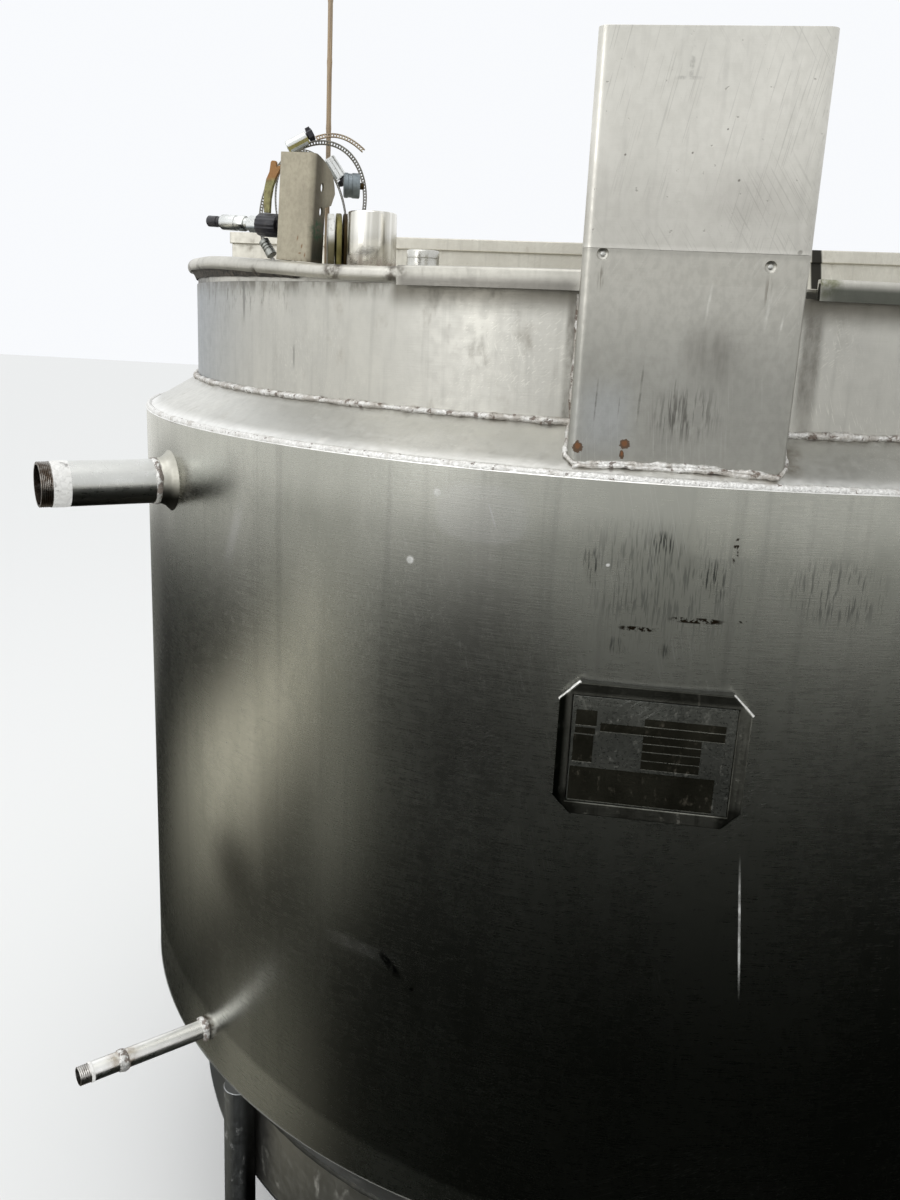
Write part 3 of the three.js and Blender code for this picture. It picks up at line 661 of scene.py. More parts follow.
def cone_stains(place):
    """A pale band of painted highlight beside the weld at the outer edge, and dirt below the neck and round
    the column's foot.
    """
    reach = (place.along("X") ** 2.0 + place.along("Y") ** 2.0).root()
    broken = place.grain(55.0, 40.0, 0.32, 0.68, 4.0, 3.0)
    return (
        (reach.ramp(0.784, 0.771) * (0.15 + broken * 0.5), (0.16, 0.14, 0.11)),
        (place.mark(118, 1480, 16, 22, 0.0, 0.7) * broken * 0.7, (0.20, 0.17, 0.13)),
        # Pale band at the outer edge: a painted highlight.
        (reach.ramp(0.822, 0.838) * (0.60 + broken * 0.35), (0.88, 0.87, 0.84)),
    )


cone_finish = steel_finish(
    "cone_plate", (0.62, 0.61, 0.565), (0.48, 0.475, 0.44), 0.36, 0.22, 0.12, stains=cone_stains,
)
piece("top_cone", cone_mesh, cone_finish, "neck_steel", "top_closure")
low_low, low_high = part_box("bottom_closure")
low_cone_mesh = spun(
    [
        (jacket_radius, low_high.z), (jacket_radius - jacket_sheet, low_high.z),
        (cone_inner, low_low.z + 8 * mm), (cone_inner, low_low.z),
        (jacket_radius - (jacket_radius - cone_inner) * 0.5, (low_low.z + low_high.z) / 2),
    ],
    jacket_steps,
)
piece("bottom_cone", low_cone_mesh, shade_finish, "jacket_steel", "bottom_closure")

# Weld beads
# White, pickled fillet welds left as laid: a band round the jacket's top edge, a lumpier one where
# the cone meets the neck, and plain ones under the jacket and round the pipe roots. The ones under
# the jacket are painted near black, as shade.
def weld_metal(name, soil, specks):
    """Pickled weld metal with a share of brown soil and of black specks."""
    finish, place = start_finish(name)
    ripple = place.grain(330.0, 330.0, 0.30, 0.70, 3.0)
    blotch = place.grain(45.0, 45.0, 0.62 - soil * 0.3, 0.84 - soil * 0.3, 4.0, 2.0)
    speck = place.grain(120.0, 120.0, 0.70 - specks * 0.2, 0.78 - specks * 0.2, 3.0, 5.0)
    colour = ripple.between((0.86, 0.85, 0.82), (0.66, 0.65, 0.62)).layered(
        (blotch * (0.40 + soil * 0.3), (0.34, 0.30, 0.25)), (speck * 0.80, (0.10, 0.06, 0.035)),
    )
    return dress(finish, colour, 0.40 + ripple * 0.15, ripple + speck * -0.8, 0.6, 0.72 - speck * 0.6)


weld_finish = weld_metal("weld_metal", 0.35, 0.40)
# Near black: painted shade for the welds under the jacket.
foot_weld_finish = steel_finish("foot_weld", (0.11, 0.11, 0.10), (0.07, 0.07, 0.06), 0.75, 0.3, 0.6)
dirty_weld_finish = weld_metal("dirty_weld_metal", 1.0, 0.95)
neck_weld_finish = weld_metal("neck_weld_metal", 0.75, 0.70)


def weld_ring(radius, height, half_width, half_height, lump, steps, seed):
    """A round bead, swollen and shrunk about its own middle line."""
    corners = [math.radians(45 * corner) for corner in range(8)]
    mesh = spun([
        (radius + half_width * math.cos(turn), height + half_height * math.sin(turn)) for turn in corners
    ], steps)
    shift = Vector((seed, seed, seed))
    for vert in mesh.verts:
        middle = outwards(vert.co) * radius
        middle.z = height
        swell = noise.noise(vert.co * 170.0 + shift) * 0.7 + noise.noise(vert.co * 26.0 + shift) * 0.9
        vert.co = middle + (vert.co - middle) * (1.0 + lump * swell)
    return mesh


for name, radius, height, half_width, half_height, lump, steps, seed, finish, slot in (
    ("jacket_top_weld", jacket_radius - 5.4 * mm, cone_foot + 0.4 * mm, 4.6, 6.0, 0.12, 900, 1.0,
     weld_finish, "neck_steel"),
    ("neck_weld", vessel_radius + 1.8 * mm, cone_head + 0.2 * mm, 5.0, 3.8, 0.62, 1080, 5.0,
     neck_weld_finish, "neck_steel"),
    ("jacket_foot_weld", jacket_radius - 5.2 * mm, low_high.z, 3.4, 3.4, 0.12, 540, 9.0,
     foot_weld_finish, "jacket_steel"),
    ("low_neck_weld", vessel_radius + 1.5 * mm, low_low.z, 4.5, 5.0, 0.2, 540, 12.0,
     foot_weld_finish, "jacket_steel"),
):
    mesh = weld_ring(radius, height, half_width * mm, half_height * mm, lump, steps, seed)
    piece(name, mesh, finish, slot, sharp=80)

# Pipe ends
# Two pipe stubs that feed the jacket, each with a male thread at its tip, and their twins turned
# half round the tank. The upper one has a band of white sealing tape, the lower one a weld halfway.
pipe_tip = 1018 * mm
small_out_radius = 13.35 * mm
small_in_radius = 10.5 * mm
small_tip = 1035 * mm
small_weld_at = jacket_radius + 125 * mm


def moved(mesh, matrix):
    bmesh.ops.transform(mesh, matrix=matrix, verts=mesh.verts)
    return mesh


def threaded(outer, inner, root, tip, pitch, depth, turns, steps):
    """Pipe from root to tip with grooves cut at the tip."""
    first = tip - pitch * (turns + 0.4)
    profile = [(inner, root), (outer, root), (outer, first)]
    for groove in range(turns):
        start = first + pitch * groove
        profile += [(outer - depth, start + pitch * 0.5), (outer - depth * 0.15, start + pitch)]
    return spun(profile + [(outer - depth * 0.9, tip), (inner, tip)], steps)


def band_round(outer, start, end, swell):
    return spun(
        [
            (outer - 1 * mm, start), (outer + swell * 0.6, start + 0.2 * mm),
            (outer + swell, (start * 2 + end) / 3), (outer + swell * 0.8, (start + end * 2) / 3),
            (outer + swell * 0.5, end - 0.2 * mm), (outer - 1 * mm, end),
        ],
        64,
    )


finish, place = start_finish("sealing_tape")
wrap = place.grain(150.0, 150.0, 0.40, 0.62, 4.0)
tape_finish = dress(finish, (wrap * 0.35).between((0.84, 0.83, 0.80), (0.62, 0.61, 0.58)).layered(
    (place.grain(60.0, 60.0, 0.55, 0.75, 4.0, 4.0) * 0.8, (0.07, 0.06, 0.05)),
), 0.62, wrap, 0.5)


def pipe_end_finish(name, light, dark, angle, height, radius, tip, thread_soil, weld_at, tint_reach):
    """Bright pipe with an oily thread, the straw tint that welding left and a black underside of painted
    shade.
    """
    heading = (math.cos(math.radians(angle)), math.sin(math.radians(angle)), 0.0)

    def end_stains(place):
        along = abs(place.new("VectorMath", {0: place, 1: heading}, "Value", operation="DOT_PRODUCT"))
        broken = place.grain(120.0, 120.0, 0.34, 0.66, 4.0, 8.0)
        tint = abs(along - weld_at).ramp(tint_reach, tint_reach * 0.3) * (0.25 + broken * 0.5)
        # Black below the pipe's middle: painted shade.
        under = place.level(height - radius * 0.05, height - radius * 0.72) * 0.92
        thread = along.ramp(tip - 17 * mm, tip - 14 * mm) * (thread_soil + broken * 0.3)
        return (
            (tint, (0.34, 0.27, 0.19)),
            (under, (0.035, 0.034, 0.028)),
            (place.grain(200.0, 200.0, 0.70, 0.76, 3.0, 2.0) * 0.5, (0.12, 0.10, 0.08)),
            (thread, (0.085, 0.062, 0.045)),
        )

    return steel_finish(name, light, dark, 0.30, 0.10, 0.0, 1.0, stains=end_stains)


def boss_stains(place):
    """The boss is black below the pipe's middle, painted shade as on the pipe."""
    below = place.level(upper_pipe_height - 2 * mm, upper_pipe_height - 22 * mm)
    return ((below * 0.97, (0.012, 0.012, 0.010)),)


boss_finish = steel_finish(
    "pipe_boss", (0.60, 0.59, 0.53), (0.40, 0.385, 0.33), 0.45, 0.5, 0.1, 2.0, stains=boss_stains,
)
pipe_root_weld_finish = weld_metal("pipe_root_weld_metal", 0.25, 1.15)
upper_finish = pipe_end_finish(
    "upper_pipe_end", (0.72, 0.72, 0.69), (0.62, 0.62, 0.59), upper_pipe_angle, upper_pipe_height,
    pipe_out_radius, pipe_tip, 0.70, jacket_radius, 26 * mm,
)
# The lower pipe's colours are set far lighter than the upper one's: painted light.
lower_finish = pipe_end_finish(
    "lower_pipe_end", (0.96, 0.95, 0.92), (0.86, 0.85, 0.81), lower_pipe_angle, lower_pipe_height,
    small_out_radius, small_tip, 0.38, small_weld_at, 30 * mm,
)
# The boss's flare by its radius and its distance out from the jacket's face, in millimetres.
boss_flare = ((47, -9), (44.5, -5.5), (39, -0.5), (34.5, 4), (31.8, 9.5), (30.5, 16))
for side, turn in (("left", 0.0), ("right", 180.0)):
    upper_mesh = threaded(
        pipe_out_radius, pipe_in_radius, jacket_radius - 8 * mm, pipe_tip, 2.21 * mm, 1.1 * mm, 6, 72,
    )
    tape_mesh = band_round(pipe_out_radius - 0.3 * mm, pipe_tip - 38 * mm, pipe_tip - 15 * mm, 0.9 * mm)
    lower_mesh = threaded(
        small_out_radius, small_in_radius, jacket_radius - 8 * mm, small_tip, 2.7 * mm, 1.2 * mm, 5, 48,
    )
    boss_mesh = spun(
        [(pipe_out_radius - 2 * mm, jacket_radius - 9 * mm)]
        + [(radius * mm, jacket_radius + out * mm) for radius, out in boss_flare]
        + [(pipe_out_radius - 2 * mm, jacket_radius + 18 * mm)],
        72,
    )
    ring_mesh = band_round(small_out_radius - 0.2 * mm, small_tip - 20 * mm, small_tip - 15 * mm, 1.3 * mm)
    parts = [
        ("upper_pipe", upper_mesh, upper_finish, (f"upper_nozzle_{side}",), 35),
        ("upper_pipe_tape", tape_mesh, tape_finish, (), 35),
        ("lower_pipe", lower_mesh, lower_finish, (f"lower_nozzle_{side}",), 35),
        ("upper_pipe_boss", boss_mesh, boss_finish, (), 60),
        ("lower_pipe_ring", ring_mesh, tape_finish, (), 35),
    ]
    for label, radius, reach, half_width, half_height in (
        ("upper_root_weld", pipe_out_radius, jacket_radius + 18.5 * mm, 2.1, 4.2),
        ("lower_root_weld", small_out_radius, jacket_radius + 1.5 * mm, 5.0, 5.0),
        ("lower_middle_weld", small_out_radius, small_weld_at, 2.6, 6.5),
    ):
        bead_mesh = weld_ring(radius, reach, half_width * mm, half_height * mm, 0.5, 110, 3.0 + radius)
        parts.append((label, bead_mesh, pipe_root_weld_finish, (), 80))
    for label, mesh, finish, nodes, sharp in parts:
        upper = label.startswith("upper")
        heading = turned((upper_pipe_angle if upper else lower_pipe_angle) + turn, "Z")
        height = upper_pipe_height if upper else lower_pipe_height
        moved(mesh, Matrix.Translation((0, 0, height)) @ heading @ turned(90, "Y"))
        piece(f"{label}_{side}", mesh, finish, "pipe_steel", *nodes, sharp=sharp)

# Legs
# Four lengths of pipe welded to the vessel's wall. Each has a flat cap that stands half out of the
# bottom cone, and a square foot plate.
def leg_stains(place):
    """Painted shade: black down the right flank of the front left leg."""
    return ((place.mark(-524, 200, 17, 420, 0.0, 0.7) * 0.96, (0.006, 0.006, 0.005)),)


def block(low, high):
    """A plain block between two corners."""
    mesh = bmesh.new()
    bmesh.ops.create_cube(mesh, size=1.0)
    bmesh.ops.scale(mesh, vec=Vector(high) - Vector(low), verts=mesh.verts)
    bmesh.ops.translate(mesh, vec=(Vector(low) + Vector(high)) / 2, verts=mesh.verts)
    return mesh


leg_finish = steel_finish(
    "leg_pipe", (0.42, 0.43, 0.43), (0.3, 0.31, 0.31), 0.42, 0.5, 0.4, 2.0, stains=leg_stains,
)
leg_radius = 24.15 * mm
leg_bore = 20.45 * mm
leg_angle = -133.7
leg_reach = vessel_radius + 0.3 * mm + leg_radius
leg_cap = 445 * mm
foot_half = 60 * mm
foot_thickness = 10 * mm
for label, turn in (("front_left", 0), ("front_right", 90), ("rear_right", 180), ("rear_left", 270)):
    leg_mesh = spun(
        [
            (leg_bore, foot_thickness), (leg_radius, foot_thickness), (leg_radius, leg_cap - 1 * mm),
            (leg_radius - 1 * mm, leg_cap), (0.0, leg_cap), (0.0, leg_cap - 4 * mm),
            (leg_bore, leg_cap - 4 * mm),
        ],
        64,
    )
    foot_mesh = block((-foot_half, -foot_half, 0.0), (foot_half, foot_half, foot_thickness))
    bmesh.ops.bevel(
        foot_mesh, geom=foot_mesh.edges, offset=1 * mm, segments=2, profile=0.5, affect="EDGES",
        material=-1,
    )
    outward = turned(leg_angle + turn, "Z") @ Matrix.Translation((leg_reach, 0, 0))
    piece(f"pipe_leg_{label}", moved(leg_mesh, outward), leg_finish, "leg_steel", f"leg_{label}")
    piece(f"foot_plate_{label}", moved(foot_mesh, outward), leg_finish, "leg_steel")

# Rim
# The neck's top edge is curled over and out into an open roll, with dirt and painted shadow under
# it. At the front a smooth folded lip takes its place on both sides of the column.
rim_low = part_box("rim_bead")[0]
rim_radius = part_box("rim_bead")[1].x
rim_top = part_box("front_lip_left")[1].z
rim_sheet = 3.2 * mm
curl_radius = 8.0 * mm
curl_middle = rim_radius - rim_sheet / 2 - curl_radius
curl_height = rim_top - rim_sheet / 2 - curl_radius
curl_sweep = 228.0
lip_half_angle = 23.3


def rim_stains(place):
    """Black dirt and painted shadow under the roll's left end, dirt by its joint, moss at the right lip's
    cut end, painted shade low on the lips.
    """
    broken = place.grain(90.0, 90.0, 0.36, 0.62, 4.0, 6.0)
    # Under the roll's left end: black dirt and painted shadow.
    under = place.level(1.6615, 1.6565) * place.level(-0.60, -0.67, "X") * (0.55 + broken * 0.45)
    blots = largest(
        (
            place.spot(point, size)
            for point, size in (
                ((-0.312, -0.716, 1.652), 0.024), ((-0.395, -0.672, 1.654), 0.02),
                ((-0.7, -0.34, 1.655), 0.03), ((-0.655, -0.42, 1.652), 0.018),
                ((-0.52, -0.58, 1.648), 0.014),
            )
        )
    )
    dull = place.level(-0.32, -0.30, "X") * place.level(-0.10, -0.12, "X")
    return (
        (under * 0.9, (0.02, 0.018, 0.013)),
        (blots * broken * 0.85, (0.07, 0.055, 0.04)),
        (place.spot((0.135, -0.772, 1.655), 0.020) * broken * 0.7, (0.14, 0.15, 0.05)),
        (dull * 0.45, (0.38, 0.37, 0.33)),
        # The lower half of the left lip is darker: painted shade.
        (dull * place.level(1.653, 1.642) * 0.85, (0.19, 0.18, 0.16)),
        # The lower half of the right lip is near black: painted shade.
        (place.level(0.10, 0.15, "X") * place.level(1.657, 1.648) * 0.92, (0.075, 0.08, 0.065)),
    )


rim_finish = steel_finish(
    "rim_sheet", (0.64, 0.62, 0.56), (0.47, 0.455, 0.41), 0.45, 0.45, 0.12, 1.6, (0.12, 0.095, 0.07),
    stains=rim_stains,
)


def curl_side(radius):
    """One face of the roll, from its inner foot over the top."""
    turns = [math.radians(180.0 - curl_sweep * step / 16) for step in range(17)]
    return [
        (curl_middle + radius * math.cos(turn), curl_height + radius * math.sin(turn)) for turn in turns
    ]


curl_profile = (
    [(curl_middle - curl_radius + rim_sheet / 2, rim_low.z)]
    + curl_side(curl_radius - rim_sheet / 2)
    + curl_side(curl_radius + rim_sheet / 2)[::-1]
    + [(curl_middle - curl_radius - rim_sheet / 2, rim_low.z)]
)
rim_rise = 16 * mm


def smooth(value, start, end):
    share = min(1.0, max(0.0, (value - start) / (end - start)))
    return share * share * (3.0 - 2.0 * share)


def rise_at(point):
    """How far the roll is bent up at its left side."""
    angle = math.degrees(math.atan2(point.y, point.x))
    angle -= 360.0 if angle > 90.0 else 0.0
    return rim_rise * smooth(-angle, 114.0, 147.0) * smooth(angle, -195.0, -165.0)


rim_mesh = spun(curl_profile, 300, 360.0 - 2 * lip_half_angle, -90.0 + lip_half_angle)
for vert in rim_mesh.verts:
    if vert.co.z > rim_low.z + 1 * mm:
        vert.co.z += rise_at(vert.co)
    if vert.co.z > rim_low.z + 2 * mm:
        shake = noise.noise(vert.co * 11.0)
        vert.co.z -= 0.8 * mm * (1.0 + shake)
        vert.co -= outwards(vert.co) * 0.7 * mm * (1.0 + shake)
piece("curled_rim", rim_mesh, rim_finish, "rim_steel", "rim_bead")

# The bent up part bares a near black strip between the roll's outer edge and the neck: tarry dirt and
# painted shadow.
finish, place = start_finish("tarry_dirt_and_painted_shade")
crust = place.grain(160.0, 160.0, 0.36, 0.66, 4.0)
tar_finish = dress(finish, crust.between((0.012, 0.011, 0.009), (0.085, 0.070, 0.050)), 0.7, crust, 0.8)
tar_mesh = spun([
    (rim_radius - 8.5 * mm, 1643.0 * mm), (rim_radius - 7.0 * mm, 1644.5 * mm),
    (vessel_radius + 1.5 * mm, 1646.0 * mm), (vessel_radius + 0.2 * mm, 1642.5 * mm),
], 110, 74.0, 160.0)
for vert in tar_mesh.verts:
    outer = vert.co.xy.length > vessel_radius + 4 * mm
    vert.co.z += rise_at(vert.co) * (0.97 if outer else 0.30)
    vert.co.z += 1.2 * mm * noise.noise(vert.co * 60.0)
piece("rim_underside_dirt_and_shade", tar_mesh, tar_finish, "rim_steel")

lip_outer = 783 * mm
lip_sheet = 4 * mm
lip_foot = rim_top - 21 * mm
lip_corner = 3.5 * mm
lip_profile = [(vessel_inside, rim_top)] + [
    (
        lip_outer - lip_corner + lip_corner * math.sin(turn),
        rim_top - lip_corner + lip_corner * math.cos(turn),
    )
    for turn in rows_between(0.0, math.pi / 2, 6)
] + [
    (lip_outer, lip_foot), (lip_outer - lip_sheet, lip_foot),
    (lip_outer - lip_sheet, rim_top - lip_sheet), (vessel_radius, rim_top - lip_sheet),
    (vessel_radius, rim_low.z), (vessel_inside, rim_low.z),
]


def trimmed(mesh, point, normal):
    """Cuts off what lies beyond a plane; gives the edges of the cut."""
    cut = bmesh.ops.bisect_plane(
        mesh, geom=mesh.verts[:] + mesh.edges[:] + mesh.faces[:], plane_co=point, plane_no=normal,
        clear_outer=True,
    )
    return [item for item in cut["geom_cut"] if isinstance(item, bmesh.types.BMEdge)]


for side, edge_x, direction, start in (
    ("left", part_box("front_lip_left")[1].x, 1.0, -90.0 - lip_half_angle),
    ("right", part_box("front_lip_right")[0].x, -1.0, -90.0),
):
    lip_mesh = spun(lip_profile, 60, lip_half_angle, start)
    bmesh.ops.holes_fill(lip_mesh, edges=trimmed(lip_mesh, (edge_x, 0, 0), (direction, 0, 0)), sides=0)
    bmesh.ops.recalc_face_normals(lip_mesh, faces=lip_mesh.faces)
    piece(f"folded_lip_{side}", lip_mesh, rim_finish, "rim_steel", f"front_lip_{side}", sharp=50)

# Column
# Two lengths of folded sheet, one on the other, open at the back. The lower one is cut to stand on
# the cone and welded there. Two screws hold it, and both are scratched and stained by runs.
column_low, column_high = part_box("column_lower")
column_joint, column_top = (corner.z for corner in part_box("column_upper"))
column_sheet = 4 * mm
column_bend = 10 * mm
column_width = column_high.x - column_low.x
column_depth = column_high.y - column_low.y
column_middle = (column_low.x + column_high.x) / 2
screw_places = ((-85.6 * mm, 1671.2 * mm), (73.0 * mm, 1665.0 * mm))
screw_hole = 6.0 * mm


def channel(width, depth, sheet, left_bend, right_bend, corners=6, across=1):
    """Closed outline of a folded channel: its face on y = 0, its flanges running back along +Y."""
    half = width / 2
    turns = rows_between(0.0, math.pi / 2, corners)
    sides = []
    for inset in (0.0, sheet):
        left, right = left_bend - inset, right_bend - inset
        side = [(-half + inset, depth)]
        side += [
            (-half + left_bend - left * math.cos(turn), left_bend - left * math.sin(turn))
            for turn in turns
        ]
        side += [(x, inset) for x in rows_between(-half + left_bend, half - right_bend, across)[1:-1]]
        side += [
            (half - right_bend + right * math.cos(turn), right_bend - right * math.sin(turn))
            for turn in turns[::-1]
        ]
        sides.append(side + [(half - inset, depth)])
    return sides[0] + sides[1][::-1]


def stood_up(outline, heights):
    """A closed outline of (x, y) points extruded from the first height through the others."""
    mesh = bmesh.new()
    faces = [mesh.faces.new([mesh.verts.new((x, y, heights[0])) for x, y in outline])]
    for before, after in zip(heights, heights[1:]):
        grown = bmesh.ops.extrude_face_region(mesh, geom=faces, use_keep_orig=before == heights[0])["geom"]
        verts = [item for item in grown if isinstance(item, bmesh.types.BMVert)]
        faces = [item for item in grown if isinstance(item, bmesh.types.BMFace)]
        bmesh.ops.translate(mesh, vec=(0, 0, after - before), verts=verts)
    bmesh.ops.recalc_face_normals(mesh, faces=mesh.faces)
    return mesh


def carved(mesh, cutters, operation="DIFFERENCE"):
    """Cuts closed meshes out of one, or keeps what they share with it."""
    parts = []
    for part in (mesh, *cutters):
        data = bpy.data.meshes.new("carving")
        part.to_mesh(data)
        part.free()
        parts.append(link(bpy.data.objects.new("carving", data)))
    for cutter in parts[1:]:
        modifier = parts[0].modifiers.new("carving", "BOOLEAN")
        modifier.object = cutter
        modifier.operation = operation
        modifier.solver = "EXACT"
    result = bmesh.new()
    result.from_object(parts[0], bpy.context.evaluated_depsgraph_get())
    for part in parts:
        data = part.data
        bpy.data.objects.remove(part)
        bpy.data.meshes.remove(data)
    return result


# The lumps of the beads are drawn by noise_vector, which is the same each time only from a set seed.
noise.seed_set(4)


def bead(path, size, lump, seed):
    """A weld bead laid along a path of points."""
    line = bpy.data.curves.new("bead_line", "CURVE")
    line.dimensions = "3D"
    line.bevel_depth = size
    line.bevel_resolution = 2
    line.use_fill_caps = True
    spline = line.splines.new("POLY")
    spline.points.add(len(path) - 1)
    for point, place in zip(spline.points, path):
        point.co = (*place, 1.0)
    holder = link(bpy.data.objects.new("bead_line", line))
    data = bpy.data.meshes.new_from_object(holder)
    mesh = bmesh.new()
    mesh.from_mesh(data)
    bpy.data.objects.remove(holder)
    bpy.data.curves.remove(line)
    bpy.data.meshes.remove(data)
    shift = Vector((seed, seed, seed))
    for vert in mesh.verts:
        swell = noise.noise_vector(vert.co * 190.0 + shift) * 0.8 + noise.noise_vector(
            vert.co * 45.0 + shift
        )
        vert.co += swell * size * lump
    bmesh.ops.recalc_face_normals(mesh, faces=mesh.faces)
    return mesh


def stepped(start, end, gap):
    """Points from start to end about gap apart."""
    count = max(1, round((end - start).length / gap))
    return [start.lerp(end, step / count) for step in range(count + 1)]


def run_down(place, x, high, low, width, lean, soft):
    """A run of dirt or of bare metal down the front, from one height to another."""
    return place.mark(x, (high + low) / 2, width, (high - low) / 2, lean, soft)


finish, place = start_finish("column_lower_sheet")
clouds = place.grain(9.0, 4.0, 0.28, 0.72, 5.0)
mottling = place.grain(140.0, 90.0, 0.35, 0.68, 3.0, 3.1)
rolled = place.grain(46.0, 900.0, 0.25, 0.75, 2.0, 7.7)
fine_run = place.grain(430.0, 30.0, 0.48, 0.62, 2.0, 1.3)
broad_run = place.grain(60.0, 9.0, 0.38, 0.66, 4.0, 5.3)
broken = place.grain(85.0, 70.0, 0.36, 0.62, 5.0, 9.4)
scratch = place.scratches(0.10, -0.5)
stain = place.mark(28, 1580, 40, 44, -0.10, 0.9, 2.2) * (0.45 + broad_run * 0.55)
smears = place.mark(8, 1522, 44, 36, 0.15, 0.75, 2.4) * (fine_run * 0.85 + broken * 0.22)
thin_runs = largest(run_down(place, x, high, low, width, 0.03, 0.75) for x, high, low, width in (
    (-81, 1562, 1500, 1.3), (-38, 1576, 1506, 1.5), (-58, 1540, 1512, 0.9), (-5, 1560, 1530, 0.9),
))
pale_runs = [run_down(place, x, high, low, width, 0.10, 0.85) for x, high, low, width in (
    (19, 1656, 1600, 1.9), (75, 1650, 1598, 2.4), (89, 1628, 1590, 1.6),
)]
screw_runs = place.mark(-85.6, 1650, 5, 17, 0.0, 0.8) | place.mark(73, 1643, 5, 18, 0.0, 0.8)
rust_grain = place.grain(210.0, 210.0, 0.28, 0.66, 5.0, 4.4)
wobble = (rust_grain - 0.5) * 0.55
rust_spots = ((-96, 1485, 8.5, 8.5), (-49, 1490, 8.5, 8.0), (-51, 1480, 3.4, 7.0))
rust = largest(
    place.mark(x, z, across, down, 0.0, 0.9, 2.0) + wobble for x, z, across, down in rust_spots
).ramp(0.30, 0.52)
rust_core = largest(
    place.mark(x, z + 1, across * 0.62, down * 0.62, 0.0, 0.9, 2.0) + wobble * 0.8
    for x, z, across, down in rust_spots
).ramp(0.36, 0.86)
colour = clouds.between((0.40, 0.395, 0.36), (0.33, 0.325, 0.295)).layered(
    (place.level(1.540, 1.672), (0.52, 0.505, 0.455)),
    (place.mark(-72, 1515, 40, 50, 0.0, 0.8) * 0.7, (0.43, 0.44, 0.44)),
    (stain * 0.62, (0.17, 0.16, 0.14)),
    (smears * 0.72, (0.085, 0.08, 0.07)),
    (thin_runs * (0.25 + mottling * 0.5), (0.12, 0.115, 0.10)),
    *((pale_run * (0.10 + broken * 0.6), (0.66, 0.65, 0.60)) for pale_run in pale_runs),
    (mottling * 0.14, (0.24, 0.235, 0.21)),
    (scratch * 0.20, (0.62, 0.61, 0.57)),
    (screw_runs * fine_run * 0.5, (0.15, 0.13, 0.10)),
    # Darker just under the joint: painted shade.
    (place.level(column_joint - 7 * mm, column_joint - 1 * mm) * 0.30, (0.26, 0.25, 0.225)),
    (rust, (0.085, 0.050, 0.027)),
    (rust_core, (0.15, 0.060, 0.020)),
)
roughness = (0.38 + (mottling * 0.08 + stain * 0.10)) | rust * 0.85
relief = rolled * 0.3 + mottling * 0.5 + rust * rust_grain - scratch * 0.5
column_lower_finish = dress(finish, colour, roughness, relief, 0.07, 1.0 - rust)

finish, place = start_finish("column_upper_sheet")
clouds = place.grain(7.0, 5.0, 0.28, 0.72, 5.0)
mottling = place.grain(120.0, 90.0, 0.35, 0.68, 3.0, 3.1)
rolled = place.grain(46.0, 900.0, 0.25, 0.75, 2.0, 7.7)
soft_run = place.grain(90.0, 9.0, 0.50, 0.70, 3.0, 1.9)
pits = place.grain(160.0, 160.0, 0.71, 0.77, 2.0, 3.3)
scratch = place.scratches(0.6, -0.2)
crossing = place.mark(-18, 1843, 3.0, 20, 0.0, 0.6) * 0.5 | place.mark(-20, 1828, 15, 2.2, 0.0, 0.6) * 0.5
nicks = [place.mark(x, z, size, size, 0.2, 0.6, 2.0) * 0.75 for x, z, size in (
    (98, 1679, 3.0), (35, 1741, 1.6), (-72, 1761, 1.4), (20, 1785, 1.2), (-10, 1764, 1.3),
)]
colour = clouds.between((0.72, 0.70, 0.64), (0.62, 0.605, 0.55)).layered(
    (place.level(1.800, 1.685) * 0.70, (0.50, 0.485, 0.44)),
    (mottling * 0.10, (0.40, 0.39, 0.36)),
    (soft_run * 0.12, (0.30, 0.29, 0.27)),
    (place.mark(45, 1725, 62, 40, -0.1, 0.9, 2.4) * 0.25, (0.36, 0.34, 0.31)),
    (crossing * mottling, (0.16, 0.155, 0.14)),
    *((nick, (0.12, 0.11, 0.09)) for nick in nicks),
    ((scratch * 0.5 | pits) * 0.4, (0.18, 0.17, 0.15)),
    # Lighter just over the joint: a painted highlight.
    (place.level(column_joint + 6 * mm, column_joint + 1.5 * mm) * 0.25, (0.80, 0.78, 0.72)),
)
relief = rolled * 0.3 + mottling * 0.5 - pits * 2.0
column_upper_finish = dress(finish, colour, 0.36 + mottling * 0.09, relief, 0.07, 1.0)

column_outline = [
    (x + column_middle, y + column_low.y)
    for x, y in channel(column_width, column_depth, column_sheet, column_bend, column_bend, 7, 44)
]
column_foot = min(cone_height(math.hypot(x, y)) for x, y in column_outline)
for label, low, high, finish in (
    ("lower", column_foot, column_joint, column_lower_finish),
    ("upper", column_joint, column_top, column_upper_finish),
):
    column_mesh = stood_up(column_outline, rows_between(low, high, 48))
    for vert in column_mesh.verts:
        if label == "lower":
            foot = cone_height(vert.co.xy.length) + 0.3 * mm
            vert.co.z = high - (high - foot) * (high - vert.co.z) / (high - low)
        if vert.co.y < column_low.y + column_bend:
            away = min(1.0, abs(vert.co.z - column_joint) / (30 * mm))
            vert.co.y += 0.9 * mm * away * (0.5 + 0.5 * noise.noise(vert.co * 8.0))
    if label == "lower":
        holes = [moved(spun([
            (0.0, 0.0), (screw_hole, 0.0), (screw_hole * 0.86, -1.2 * mm), (screw_hole * 0.5, -2.3 * mm),
            (0.0, -2.6 * mm),
        ], 28), turned(90, "X", x, column_low.y - 0.05 * mm, z)) for x, z in screw_places]
        bmesh.ops.triangulate(column_mesh, faces=column_mesh.faces)
        column_mesh = carved(column_mesh, holes)
    piece(
        f"column_{label}_sheet", column_mesh, finish, "column_steel", f"column_{label}", sharp=30,
        soft=(0.35, 2, 40),
    )

